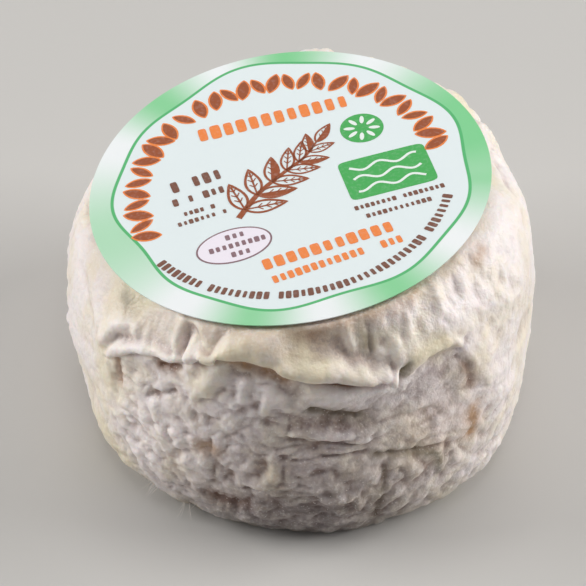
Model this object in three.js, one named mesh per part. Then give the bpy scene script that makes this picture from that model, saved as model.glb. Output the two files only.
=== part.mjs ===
// A small ripened goat's cheese with a wrinkled bloomy rind, and the round paper label that lies on it.
// Millimetres, +Z up. The cheese stands on its base, and the origin is under the middle of its box.
// A bearing is in degrees, counter-clockwise from +X seen from above, so the front is at 270.
// A skin height is measured along the skin from the edge of the flat base, up the wall and over the top.

import * as THREE from 'three';
import { ImprovedNoise } from 'three/addons/math/ImprovedNoise.js';

// Driving dimensions of the cheese
const CHEESE_HEIGHT = 41.7;
const BASE_RADIUS = 35.7;
const WALL_RADIUS = 37.0;
const SHOULDER_RADIUS = 36.2;
const BASE_ROUNDING = 4.0;
const SHOULDER_ROUNDING = 13.0;
const OVAL_ACROSS = -0.03;
const OVAL_SLANT = -0.03;
const TOP_RISE_TO_RIGHT = Math.tan(THREE.MathUtils.degToRad(6.3));
const TOP_RISE_TO_BACK = Math.tan(THREE.MathUtils.degToRad(2.5));

// Driving dimensions of the label
const LABEL_RADIUS = 30;
const LABEL_THICKNESS = 0.25;
const LABEL_GAP = 0.3;
const LABEL_CENTRE = new THREE.Vector2(-1.3, -2.4);
const LABEL_BEND = 0.5;
const LABEL_BEND_BEARING = 200;

// Fineness of the surfaces
const CHEESE_SIDES = 132;
const SKIN_BANDS = 40;
const TOP_RING_RADII = [16, 8];
const LABEL_SIDES = 72;
const LABEL_RING_RADII = [10, 20, 27, LABEL_RADIUS];

// Relief of the rind: its depth, and how wide one swell of it is across and along the wall.
// A band of skin heights runs from nothing to full depth over its first mm, and out over its last.
const UNEVENNESS = { depth: 0.6, across: 24, along: 24, offset: 5.1 };
const UPRIGHT_WRINKLES = {
  depth: 1.5, across: 5.4, along: 15, offset: 3.7,
  band: { from: 24, fadeIn: 8, to: 50, fadeOut: 4 },
};
const WALL_LUMPS = {
  depth: 1.7, across: 7, along: 4.6, offset: 8.3,
  band: { from: 1, fadeIn: 3, to: 33, fadeOut: 6 },
};
const FOOT_EDGE = { depth: 1.6, across: 7, along: 7, offset: 2.9 };
const SMOOTH_FLANKS = { bearings: [195, 345], spread: 26, share: 0.4 };
const CELL_SHARPNESS = 2.2;
const RELIEF_STARTS_OVER = 3;
const LIFT_OFF_FLOOR = 0.05;

// Broad swells and slumps of the whole body, each spread over degrees of bearing and mm of skin
const BROAD_FORMS = [
  { name: 'far shoulder slump', bearing: 105, skin: 41, spread: 120, span: 15, rise: -2.6 },
  { name: 'right shoulder slump', bearing: 24, skin: 38, spread: 30, span: 12, rise: -1.4 },
  { name: 'far dip', bearing: 69, skin: 42, spread: 14, span: 9, rise: -1.5 },
  { name: 'left flank hollow', bearing: 190, skin: 12, spread: 20, span: 9, rise: -1.6 },
  { name: 'wall under the collar', bearing: 280, skin: 28, spread: 44, span: 9, rise: -1.2 },
  { name: 'front foot', bearing: 280, skin: 3, spread: 45, span: 7, rise: -0.5 },
  { name: 'left foot', bearing: 212, skin: 5, spread: 16, span: 8, rise: 1.3 },
  { name: 'right foot', bearing: 325, skin: 6, spread: 18, span: 8, rise: 0.7 },
];

// Named folds that show at the front: rolls stand up and creases cut in.
// A path holds [bearing, skin height], a width is from the middle line to the edge, and drip is how far
// the roll hangs down over the skin below it.
const FRONT_FOLDS = [
  { name: 'collar roll', path: [[248, 42], [256, 41.2], [266, 40], [272, 38], [284, 36.6], [292, 35.6]],
    width: 3.7, rise: 2.6, drip: 1.9 },
  { name: 'collar stem', path: [[280, 43], [283, 39.6], [288, 37]], width: 2.3, rise: 1.2, drip: 0.2 },
  { name: 'middle upright roll', path: [[292, 35], [294, 38.5], [297, 42.5]],
    width: 2.4, rise: 1.8, drip: 0.3 },
  { name: 'arch roll', path: [[296, 37], [304, 37.2], [311, 36.4], [315, 33], [317, 26]],
    width: 2.9, rise: 2.1, drip: 0.8 },
  { name: 'nose roll', path: [[253, 39.5], [250, 36.4], [246, 32]], width: 2.4, rise: 1.9, drip: 0.4 },
  { name: 'left branch', path: [[248, 42], [244, 38.6], [236, 37.4], [228, 36], [218, 32]],
    width: 2.6, rise: 1.8, drip: 0.8 },
  { name: 'left shelf', path: [[215, 30], [215, 33.6], [219, 36.6], [225, 38]],
    width: 2.5, rise: 1.4, drip: 0.4 },
  { name: 'left stub', path: [[238, 43.5], [240, 41.5], [237, 38.5]], width: 2.3, rise: 1.3, drip: 0.3 },
  { name: 'low shelf', path: [[257, 15.6], [264, 17.2], [268, 19]], width: 2.4, rise: 1.6, drip: 0.9 },
  { name: 'low roll', path: [[275, 13.6], [282, 14], [284, 11]], width: 2.2, rise: 1.4, drip: 0.5 },
  { name: 'waist roll', path: [[268, 27.2], [277, 26.6], [285, 25]], width: 2.5, rise: 1.4, drip: 0.6 },
  { name: 'right wrinkle', path: [[319, 45], [316.5, 41], [314, 39]], width: 2.3, rise: 1.4, drip: 0 },
  { name: 'inner right wrinkle', path: [[308, 44], [306, 38.4]], width: 2.2, rise: 1.3, drip: 0 },
  { name: 'far bump', path: [[82, 42.6], [78, 42.4]], width: 3.4, rise: 0.8, drip: 0 },
  { name: 'right flank bump', path: [[353, 25], [352, 26]], width: 2.4, rise: 0.8, drip: 0 },
  { name: 'brown pit', path: [[234, 33.8], [239, 34.4]], width: 2.4, rise: -2.1, drip: 0 },
  { name: 'collar pit', path: [[257, 38.2], [265, 36.6], [269, 34.4]], width: 2.3, rise: -1.8, drip: 0 },
  { name: 'left upright crease', path: [[221, 29.5], [222, 25]], width: 2.1, rise: -1.6, drip: 0 },
  { name: 'stem pit', path: [[291, 41.8], [290, 39.6]], width: 2.1, rise: -2.1, drip: 0 },
  { name: 'arch hollow', path: [[300, 34], [307, 32.6]], width: 4.2, rise: -1.7, drip: 0 },
  { name: 'arch crease', path: [[311, 31], [312, 27]], width: 2.2, rise: -1.9, drip: 0 },
  { name: 'upper wall crease', path: [[273, 30.6], [284, 28.2]], width: 2.1, rise: -1.6, drip: 0 },
  { name: 'middle wall crease', path: [[267, 24.6], [276, 24]], width: 2.0, rise: -1.4, drip: 0 },
  { name: 'long wall crease', path: [[287, 21], [294, 19.8], [303, 17.2], [304, 12.5]],
    width: 2.2, rise: -1.5, drip: 0 },
  { name: 'low upright crease', path: [[289, 17], [289, 13], [288, 6]], width: 2.2, rise: -1.7, drip: 0 },
  { name: 'left wall pits', path: [[232, 27.6], [240, 29.6]], width: 2.3, rise: -1.5, drip: 0 },
  { name: 'base recess', path: [[249, 10.2], [257, 9.8]], width: 2.8, rise: -1.8, drip: 0 },
];

// The same kinds of fold are set out by rule round the back, rolls and creases by turns, two on the
// shoulder for each one on the wall. A range holds its least value and how much chance adds to it.
const BACK = {
  from: -32,
  to: 202,
  folds: 30,
  seed: 21,
  place: [0.3, 0.4],
  shoulderHeight: [32, 12],
  wallHeight: [8, 20],
  run: [5, 9],
  shoulderLean: [-4.5, 9],
  wallLean: [-1.5, 3],
  arch: [0, 1.2],
  roll: { width: [2.4, 1.0], rise: [1.0, 0.8], drip: [0, 0.6] },
  crease: { width: [2.1, 0.6], rise: [-1.4, -0.6], drip: [0, 0] },
};

const noise = new ImprovedNoise();

/** Smooth step from 0 at a to 1 at b. */
const ease = (a, b, value) => THREE.MathUtils.smoothstep(value, a, b);

/** A swell of noise at a point, between about -1 and 1, its waves stretched across or along the wall. */
function swell(point, { across, along, offset }) {
  return noise.noise(point.x / across + offset, point.y / across - offset, point.z / along + offset / 2);
}

/** Rounded cells with narrow valleys between them, between -0.5 and 0.5. */
function cells(point, relief) {
  return Math.min(Math.sqrt(Math.abs(swell(point, relief)) * CELL_SHARPNESS), 1) - 0.5;
}

/** How far a relief of cells that keeps to a band of skin heights moves the skin outwards at a point. */
function bandedCells(point, skin, relief) {
  const { from, fadeIn, to, fadeOut } = relief.band;
  const share = ease(from, from + fadeIn, skin) * (1 - ease(to - fadeOut, to, skin));
  return relief.depth * cells(point, relief) * share;
}

/** Seeded random numbers from 0 to 1. */
function seededRandom(seed) {
  const range = 2 ** 32;
  let state = seed;
  return () => {
    state = (state * 1664525 + 1013904223) % range;
    return state / range;
  };
}

/** Rolls and creases for the back, spread evenly and turned by chance. */
function backFolds() {
  const random = seededRandom(BACK.seed);
  const chance = ([least, spread]) => least + spread * random();
  const step = (BACK.to - BACK.from) / BACK.folds;
  return Array.from({ length: BACK.folds }, (_, index) => {
    const onShoulder = index % 3 !== 1;
    const bearing = BACK.from + (index + chance(BACK.place)) * step;
    const height = chance(onShoulder ? BACK.shoulderHeight : BACK.wallHeight);
    const halfRun = chance(BACK.run) / 2;
    const halfLean = chance(onShoulder ? BACK.shoulderLean : BACK.wallLean) / 2;
    const middle = [bearing, height + chance(BACK.arch)];
    const kind = index % 2 === 0 ? BACK.roll : BACK.crease;
    return {
      name: `back fold ${index + 1}`,
      path: [[bearing - halfRun, height - halfLean], middle, [bearing + halfRun, height + halfLean]],
      width: chance(kind.width),
      rise: chance(kind.rise),
      drip: chance(kind.drip),
    };
  });
}

const FOLDS = [...FRONT_FOLDS, ...backFolds()];

// Skin heights where the base rounding, the wall and the shoulder rounding end
const WALL_HEIGHT = CHEESE_HEIGHT - BASE_ROUNDING - SHOULDER_ROUNDING;
const SKIN_AT_WALL = BASE_ROUNDING * Math.PI / 2;
const SKIN_AT_SHOULDER = SKIN_AT_WALL + WALL_HEIGHT;
const SKIN_AT_TOP = SKIN_AT_SHOULDER + SHOULDER_ROUNDING * Math.PI / 2;

/** Point and outward direction on a rounding, at a turn in radians from level. */
function roundingAt(centreRadius, centreHeight, rounding, turn) {
  const out = Math.cos(turn);
  const up = Math.sin(turn);
  return { radius: centreRadius + rounding * out, height: centreHeight + rounding * up, out, up };
}

/** Radius, height and outward direction of the smooth cheese at a skin height. */
function profileAt(skin) {
  if (skin < SKIN_AT_WALL) {
    const turn = skin / BASE_ROUNDING - Math.PI / 2;
    return roundingAt(BASE_RADIUS - BASE_ROUNDING, BASE_ROUNDING, BASE_ROUNDING, turn);
  }
  if (skin > SKIN_AT_SHOULDER) {
    const turn = (skin - SKIN_AT_SHOULDER) / SHOULDER_ROUNDING;
    const centreHeight = CHEESE_HEIGHT - SHOULDER_ROUNDING;
    return roundingAt(SHOULDER_RADIUS - SHOULDER_ROUNDING, centreHeight, SHOULDER_ROUNDING, turn);
  }
  const t = (skin - SKIN_AT_WALL) / WALL_HEIGHT;
  const bulge = WALL_RADIUS - (BASE_RADIUS + SHOULDER_RADIUS) / 2;
  const radius = THREE.MathUtils.lerp(BASE_RADIUS, SHOULDER_RADIUS, t) + bulge * 4 * t * (1 - t);
  return { radius, height: BASE_ROUNDING + WALL_HEIGHT * t, out: 1, up: 0 };
}

/** Height of the sloping top at a place, as if it were flat all over. */
function topPlane(x, y) {
  return CHEESE_HEIGHT + x * TOP_RISE_TO_RIGHT + y * TOP_RISE_TO_BACK;
}

/** Height of the skin that the label presses flat: the top's slope with the paper's bend. */
function pressedTop(x, y) {
  const bearing = THREE.MathUtils.degToRad(LABEL_BEND_BEARING);
  const along = (x - LABEL_CENTRE.x) * Math.cos(bearing) + (y - LABEL_CENTRE.y) * Math.sin(bearing);
  return topPlane(x, y) - LABEL_BEND * (along / LABEL_RADIUS) ** 2;
}

/** Out-of-round factor at an angle in radians. */
function ovalAt(angle) {
  return 1 + OVAL_ACROSS * Math.cos(2 * angle) + OVAL_SLANT * Math.sin(2 * angle);
}

/** Shortest way in degrees from one bearing to another. */
function bearingStep(from, to) {
  return THREE.MathUtils.euclideanModulo(to - from + 180, 360) - 180;
}

/** Distance in mm over the skin from a place to a fold's path. */
function distanceToPath(bearing, skin, radius, path) {
  const mmPerDegree = THREE.MathUtils.degToRad(radius);
  const points = path.map(([b, s]) => new THREE.Vector2(bearingStep(bearing, b) * mmPerDegree, s - skin));
  let nearest = Infinity;
  for (let i = 0; i + 1 < points.length; i++) {
    const along = points[i + 1].clone().sub(points[i]);
    const share = THREE.MathUtils.clamp(-points[i].dot(along) / along.lengthSq(), 0, 1);
    nearest = Math.min(nearest, points[i].clone().addScaledVector(along, share).length());
  }
  return nearest;
}

/** How far the folds lift the skin, and how far they drag it down, at a place. */
function foldsAt(bearing, skin, radius) {
  let lift = 0;
  let drag = 0;
  for (const fold of FOLDS) {
    const share = Math.min(distanceToPath(bearing, skin, radius, fold.path) / fold.width, 1);
    const bell = (1 + Math.cos(Math.PI * share)) / 2;
    lift += fold.rise * bell;
    drag += fold.drip * bell;
  }
  return { lift, drag };
}

/** How far the broad forms move the skin outwards at a place. */
function broadFormsAt(bearing, skin) {
  return BROAD_FORMS.reduce((sum, form) => {
    const around = Math.abs(bearingStep(bearing, form.bearing)) / form.spread;
    const along = Math.abs(skin - form.skin) / form.span;
    return sum + form.rise * (1 - ease(0, 1, around)) * (1 - ease(0, 1, along));
  }, 0);
}

/** Share of the wrinkles that is left on the smooth flanks. */
function flankShare(bearing) {
  const nearest = Math.min(...SMOOTH_FLANKS.bearings.map((flank) => Math.abs(bearingStep(bearing, flank))));
  return THREE.MathUtils.lerp(SMOOTH_FLANKS.share, 1, ease(0, SMOOTH_FLANKS.spread, nearest));
}

/** Keeps the skin off the floor, and under the label where the label lies on it. */
function heightWithinReach(x, y, z, skin) {
  const fromLabel = Math.hypot(x - LABEL_CENTRE.x, y - LABEL_CENTRE.y);
  const isUnderLabel = fromLabel < LABEL_RADIUS + 1;
  return Math.max(isUnderLabel ? Math.min(z, pressedTop(x, y)) : z, LIFT_OFF_FLOOR * skin);
}

/** The point of the rind at a bearing and a skin height, with all its relief. */
function rindPoint(bearing, skin) {
  const angle = THREE.MathUtils.degToRad(bearing);
  const { radius, height, out, up } = profileAt(skin);
  const smooth = new THREE.Vector3(radius * Math.cos(angle), radius * Math.sin(angle), height);

  const wrinkles = bandedCells(smooth, skin, UPRIGHT_WRINKLES) + bandedCells(smooth, skin, WALL_LUMPS);
  const unevenness = UNEVENNESS.depth * swell(smooth, UNEVENNESS) + broadFormsAt(bearing, skin);
  const offBase = ease(0, RELIEF_STARTS_OVER, skin);
  const { lift, drag } = foldsAt(bearing, skin, radius);
  const relief = unevenness + wrinkles * flankShare(bearing) + lift * offBase;
  const footEdge = FOOT_EDGE.depth * swell(smooth, FOOT_EDGE) * (1 - ease(0, BASE_ROUNDING, skin));

  const reach = radius * ovalAt(angle) + relief * out + drag * up + footEdge;
  const x = reach * Math.cos(angle);
  const y = reach * Math.sin(angle);
  const z = height * topPlane(x, y) / CHEESE_HEIGHT + (relief * up - drag * out) * offBase;
  return new THREE.Vector3(x, y, heightWithinReach(x, y, z, skin));
}

/** A closed body from rings of points, lowest first, with one point that closes it at each end. */
function ringedBody(firstPoint, rings, lastPoint) {
  const sides = rings[0].length;
  const points = [firstPoint, ...rings.flat(), lastPoint];
  const at = (ring, side) => 1 + ring * sides + side % sides;
  const triangles = [];
  for (let side = 0; side < sides; side++) {
    triangles.push(0, at(0, side + 1), at(0, side));
    for (let ring = 0; ring + 1 < rings.length; ring++) {
      const [a, b] = [at(ring, side), at(ring, side + 1)];
      const [c, d] = [at(ring + 1, side), at(ring + 1, side + 1)];
      triangles.push(a, b, d, a, d, c);
    }
    triangles.push(at(rings.length - 1, side), at(rings.length - 1, side + 1), points.length - 1);
  }
  const geometry = new THREE.BufferGeometry();
  geometry.setAttribute('position', new THREE.Float32BufferAttribute(points.flatMap((p) => p.toArray()), 3));
  geometry.setIndex(triangles);
  geometry.computeVertexNormals();
  return geometry;
}

/** A ring of points at equal angles round a centre, with heights from a function. */
function levelRing(centre, radius, sides, heightAt) {
  return Array.from({ length: sides }, (_, side) => {
    const angle = side * 2 * Math.PI / sides;
    const x = centre.x + radius * Math.cos(angle);
    const y = centre.y + radius * Math.sin(angle);
    return new THREE.Vector3(x, y, heightAt(x, y));
  });
}

/** The cheese: a drum with a flat base, a folded wall and a rounded shoulder. */
function makeCheese() {
  const origin = new THREE.Vector3();
  const skinRings = Array.from({ length: SKIN_BANDS + 1 }, (_, band) => {
    const skin = band * SKIN_AT_TOP / SKIN_BANDS;
    return Array.from({ length: CHEESE_SIDES }, (__, side) => rindPoint(side * 360 / CHEESE_SIDES, skin));
  });
  const topRings = TOP_RING_RADII.map((radius) => levelRing(origin, radius, CHEESE_SIDES, pressedTop));
  return ringedBody(origin, [...skinRings, ...topRings], new THREE.Vector3(0, 0, pressedTop(0, 0)));
}

/** The label: a thin round sheet with a slight bend, a little above the skin that it lies on. */
function makeLabel() {
  const lower = (x, y) => pressedTop(x, y) + LABEL_GAP;
  const upper = (x, y) => lower(x, y) + LABEL_THICKNESS;
  const { x, y } = LABEL_CENTRE;
  const ringsOf = (radii, face) => radii.map((radius) => levelRing(LABEL_CENTRE, radius, LABEL_SIDES, face));
  const rings = [...ringsOf(LABEL_RING_RADII, lower), ...ringsOf(LABEL_RING_RADII.toReversed(), upper)];
  return ringedBody(new THREE.Vector3(x, y, lower(x, y)), rings, new THREE.Vector3(x, y, upper(x, y)));
}

/** A named mesh with its own plain finish. */
function part(name, geometry, color, roughness) {
  const mesh = new THREE.Mesh(geometry, new THREE.MeshStandardMaterial({ color, roughness, metalness: 0 }));
  mesh.name = name;
  return mesh;
}

const group = new THREE.Group();
group.add(part('cheese', makeCheese(), 0xd9d1bb, 0.75));
group.add(part('paper_label', makeLabel(), 0xe4eef0, 0.45));

const middle = new THREE.Box3().setFromObject(group).getCenter(new THREE.Vector3());
group.position.set(-middle.x, -middle.y, 0);

export default group;
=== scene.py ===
"""A small ripened goat's cheese with a wrinkled bloomy rind and a round printed paper label.

The cheese piece takes its body from the CAD solid and adds the finer wrinkles, creases and grains of the
rind. The label piece is a thin bent sheet, and its print is flat ink shapes that follow the sheet.

Lengths are in millimetres until a mesh is made, and metres after that. A bearing is in degrees,
counter-clockwise from +X seen from above, so the front is at 270. A skin height is measured along the
skin from the edge of the flat base, up the wall and over the top.
"""

from __future__ import annotations

import logging
import math
from collections.abc import Callable, Sequence
from dataclasses import dataclass, field
from enum import Enum
from functools import partial
from itertools import product

import bmesh
import bpy
import numpy as np
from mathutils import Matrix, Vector


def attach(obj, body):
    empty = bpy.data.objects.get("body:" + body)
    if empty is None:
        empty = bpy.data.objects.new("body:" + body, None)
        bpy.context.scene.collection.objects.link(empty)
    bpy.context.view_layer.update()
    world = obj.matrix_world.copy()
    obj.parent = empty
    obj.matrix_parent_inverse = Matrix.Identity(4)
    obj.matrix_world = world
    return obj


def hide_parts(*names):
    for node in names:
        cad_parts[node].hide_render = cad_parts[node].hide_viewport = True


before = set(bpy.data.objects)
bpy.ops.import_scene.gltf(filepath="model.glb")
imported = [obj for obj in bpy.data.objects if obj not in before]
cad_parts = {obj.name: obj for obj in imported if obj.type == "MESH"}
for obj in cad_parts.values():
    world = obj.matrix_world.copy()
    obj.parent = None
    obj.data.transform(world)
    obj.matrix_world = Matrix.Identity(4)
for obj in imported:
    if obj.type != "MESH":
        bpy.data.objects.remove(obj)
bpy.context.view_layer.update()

log = logging.getLogger("crottin")

MM = 0.001
FRAME_PIXELS = 586

Array = np.ndarray
Material = bpy.types.Material
Pairs = Sequence[tuple[float, float]]
Piece = bpy.types.Object
Socket = bpy.types.NodeSocket
Span = tuple[float, float]
AddNode = Callable[..., Socket | list[Socket]]


class Kind(Enum):
    """The kinds of node that are used often: each one's type name and its usual settings."""

    PLUS = ("ShaderNodeMath", {"operation": "ADD"})
    MINUS = ("ShaderNodeMath", {"operation": "SUBTRACT"})
    TIMES = ("ShaderNodeMath", {"operation": "MULTIPLY"})
    EASE = ("ShaderNodeMapRange", {"interpolation_type": "SMOOTHSTEP"})
    BLEND = ("ShaderNodeMix", {"data_type": "RGBA"})
    NOISE = ("ShaderNodeTexNoise", {})
    PLACE = ("ShaderNodeTexCoord", {})
    BUMP = ("ShaderNodeBump", {})
    SHADER = ("ShaderNodeBsdfPrincipled", {})
    SURFACE = ("ShaderNodeOutputMaterial", {})
    SPLIT = ("ShaderNodeSeparateXYZ", {})
    JOIN = ("ShaderNodeCombineXYZ", {})
    RANDOM = ("FunctionNodeRandomValue", {"data_type": "FLOAT"})


def linear(hex_colour: str) -> tuple[float, float, float, float]:
    """Turns an sRGB hex colour into linear red, green, blue and alpha.

    Args:
        hex_colour: Six hex digits after a hash sign.

    Returns:
        The linear colour with an alpha of 1.
    """
    parts = [int(hex_colour[i:i + 2], 16) / 255 for i in (1, 3, 5)]
    red, green, blue = (c / 12.92 if c <= 0.04045 else ((c + 0.055) / 1.055) ** 2.4 for c in parts)
    return red, green, blue, 1.0


def find_socket(sockets: bpy.types.bpy_prop_collection, key: str | int) -> Socket:
    """Finds a socket of a node.

    Args:
        sockets: The inputs or outputs of the node.
        key: The socket's number, its identifier, or the shown name of an enabled one.

    Returns:
        The first socket that answers to the key.
    """
    if isinstance(key, int):
        return sockets[key]
    by_identifier = [s for s in sockets if s.identifier == key]
    by_name = [s for s in sockets if s.name == key and s.enabled]
    return (by_identifier or by_name)[0]


def add_node(
    tree: bpy.types.NodeTree, kind: Kind | str, inputs: dict | Sequence = (),
    *outputs: str | int, **settings: object,
) -> Socket | list[Socket]:
    """Adds a node with its settings, its constants and its links.

    Args:
        tree: The shader or geometry tree.
        kind: One of the kinds in use, or the node's type name.
        inputs: Values by socket key, or in order. A socket is linked, and a hex colour made linear.
        *outputs: The keys of the wanted outputs; the first output if none is given.
        **settings: Properties of the node.

    Returns:
        The wanted output, or a list where several are wanted or the node has none.
    """
    type_name, preset = kind.value if isinstance(kind, Kind) else (kind, {})
    node = tree.nodes.new(type_name)
    for name, value in {**preset, **settings}.items():
        setattr(node, name, value)
    for key, value in inputs.items() if isinstance(inputs, dict) else enumerate(inputs):
        target = find_socket(node.inputs, key)
        if isinstance(value, Socket):
            tree.links.new(value, target)
        else:
            is_colour = isinstance(value, str) and value.startswith("#")
            target.default_value = linear(value) if is_colour else value
    found = [find_socket(node.outputs, key) for key in outputs or range(min(1, len(node.outputs)))]
    return found[0] if len(found) == 1 else found


def per_metre(wave_mm: float) -> float:
    """Gives the scale of a pattern whose waves are so many millimetres long."""
    return 1 / (wave_mm * MM)


def ease(low: float, high: float, value: Array) -> Array:
    """Steps smoothly from 0 at low to 1 at high."""
    t = np.clip((value - low) / (high - low), 0, 1)
    return t * t * (3 - 2 * t)


class Noise:
    """Smooth gradient noise in three dimensions from a fixed seed."""

    TABLE = 256
    GAIN = 1.6

    def __init__(self, seed: int) -> None:
        """Draws the table of directions.

        Args:
            seed: The seed of the random draw.
        """
        random = np.random.default_rng(seed)
        self.order = random.permutation(self.TABLE)
        directions = random.normal(size=(self.TABLE, 3))
        self.directions = directions / np.linalg.norm(directions, axis=1, keepdims=True)

    def at(self, points: Array) -> Array:
        """Gives the noise at points, between about -1 and 1.

        Args:
            points: An array whose last axis holds x, y and z in waves.

        Returns:
            One value for each point.
        """
        cell = np.floor(points).astype(int)
        local = points - cell
        fade = local ** 3 * (local * (local * 6 - 15) + 10)
        last = self.TABLE - 1
        total = np.zeros(points.shape[:-1])
        for corner in product((0, 1), repeat=3):
            x, y, z = np.moveaxis((cell + corner) & last, -1, 0)
            turn = self.order[(self.order[(self.order[x] + y) & last] + z) & last]
            slope = ((local - corner) * self.directions[turn]).sum(-1)
            total += np.where(corner, fade, 1 - fade).prod(-1) * slope
        return total * self.GAIN

    def folds(self, points: Array, steepness: float = 2.4, softness: float = 0.002) -> Array:
        """Gives rounded cells with narrow valleys between them, from 0 in a valley to 1 on a cell."""
        return np.tanh(np.sqrt(self.at(points) ** 2 + softness) * steepness)


def new_object(name: str, data: bpy.types.ID) -> Piece:
    """Puts an object into the scene, at the origin.

    Args:
        name: The object's name.
        data: Its mesh, curve, light or camera.

    Returns:
        The new object.
    """
    piece = bpy.data.objects.new(name, data)
    bpy.context.scene.collection.objects.link(piece)
    return piece


def mesh_object(name: str, points: Array, faces: Sequence[Sequence[int]], material: Material) -> Piece:
    """Makes a smooth-shaded object at the origin.

    Args:
        name: The piece's name.
        points: Vertex places in millimetres.
        faces: Vertex numbers of each face, counter-clockwise seen from outside.
        material: The material of all faces.

    Returns:
        The new object.
    """
    mesh = bpy.data.meshes.new(name)
    mesh.from_pydata((np.asarray(points) * MM).tolist(), [], [list(map(int, face)) for face in faces])
    mesh.polygons.foreach_set("use_smooth", [True] * len(mesh.polygons))
    mesh.materials.append(material)
    mesh.update()
    return new_object(name, mesh)


def closed_shell(name: str, first: Array, rows: Array, last: Array, material: Material) -> Piece:
    """Makes a closed piece of rings of points between two poles.

    Args:
        name: The piece's name.
        first: The pole below the rings.
        rows: The rings from the first pole to the last, each counter-clockwise seen from above.
        last: The pole above the rings.
        material: The material of all faces.

    Returns:
        The new object; its vertices are the first pole, the rings in order and the last pole.
    """
    sides = rows.shape[1]
    points = np.concatenate([first[None], rows.reshape(-1, 3), last[None]])
    number = np.arange(len(points) - 2).reshape(-1, sides) + 1
    after = np.roll(number, -1, 1)
    quads = np.stack([number[:-1], after[:-1], after[1:], number[1:]], -1).reshape(-1, 4)
    low_fan = np.stack([np.zeros(sides, int), after[0], number[0]], -1)
    high_fan = np.stack([number[-1], after[-1], np.full(sides, len(points) - 1)], -1)
    return mesh_object(name, points, [*low_fan, *quads, *high_fan], material)


def solid_points(node: Piece) -> Array:
    """Reads the vertices of a CAD node.

    Args:
        node: The node's object.

    Returns:
        Places in millimetres.
    """
    places = np.empty(len(node.data.vertices) * 3)
    node.data.vertices.foreach_get("co", places)
    return places.reshape(-1, 3) / MM


def corner_vertices(mesh: bpy.types.Mesh) -> Array:
    """Reads which vertex each face corner is at.

    Args:
        mesh: The mesh.

    Returns:
        Vertex numbers.
    """
    corners = np.empty(len(mesh.loops), int)
    mesh.loops.foreach_get("vertex_index", corners)
    return corners


class GrowthTree:
    """A Geometry Nodes tree with named inputs, which ends in Realize Instances and Set Material."""

    def __init__(self, name: str) -> None:
        """Starts the tree with a geometry input and output.

        Args:
            name: The tree's name.
        """
        self.tree = bpy.data.node_groups.new(name, "GeometryNodeTree")
        for side in ("INPUT", "OUTPUT"):
            self.tree.interface.new_socket("Geometry", in_out=side, socket_type="NodeSocketGeometry")
        self.values: dict[str, float | int] = {}
        self.entry = self.tree.nodes.new("NodeGroupInput")
        self.add: AddNode = partial(add_node, self.tree)

    @property
    def geometry(self) -> Socket:
        """Gives the geometry that comes in."""
        return self.entry.outputs[0]

    def number(self, name: str, value: float | int) -> Socket:
        """Adds a named input.

        Args:
            name: The input's name.
            value: The value that the modifier sets.

        Returns:
            The socket inside the tree.
        """
        kind = "NodeSocketInt" if isinstance(value, int) else "NodeSocketFloat"
        item = self.tree.interface.new_socket(name, in_out="INPUT", socket_type=kind)
        self.values[item.identifier] = value
        return find_socket(self.entry.outputs, item.identifier)

    def grow(self, geometry: Socket, material: Material, source: Piece, name: str) -> Piece:
        """Closes the tree, runs it on an object and turns the result into a plain mesh object.

        Args:
            geometry: What the tree makes.
            material: The material of it all.
            source: The object that the tree starts from; it is removed.
            name: The name of the result.

        Returns:
            The plain object.
        """
        real = self.add("GeometryNodeRealizeInstances", {"Geometry": geometry})
        dressed = self.add("GeometryNodeSetMaterial", {"Geometry": real, "Material": material})
        self.add("NodeGroupOutput", {"Geometry": dressed})
        modifier = source.modifiers.new(self.tree.name, "NODES")
        modifier.node_group = self.tree
        for identifier, value in self.values.items():
            modifier[identifier] = value
        bpy.context.view_layer.update()
        evaluated = source.evaluated_get(bpy.context.evaluated_depsgraph_get())
        mesh = bpy.data.meshes.new_from_object(evaluated)
        mesh.name = name
        piece = new_object(name, mesh)
        bpy.data.objects.remove(source)
        return piece


def new_material(name: str) -> tuple[Material, AddNode]:
    """Makes an empty node material.

    Args:
        name: The real material's name.

    Returns:
        The material, and the function that adds a node to it.
    """
    material = bpy.data.materials.new(name)
    material.use_nodes = True
    material.node_tree.nodes.clear()
    return material, partial(add_node, material.node_tree)


class RindMark(Enum):
    """What is kept about each place of the rind for its colours."""

    HOLLOW = "hollow"
    CREST = "crest"
    CREAM = "cream"
    BLOOM = "bloom"
    # Grey bloom, which also carries painted shade on the front wall and in the hollows.
    GREY = "grey"
    OCHRE = "ochre"
    BROWN = "brown"
    OLIVE = "olive"
    # Painted shade at the foot of the front wall.
    DUSK = "dusk"


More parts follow.
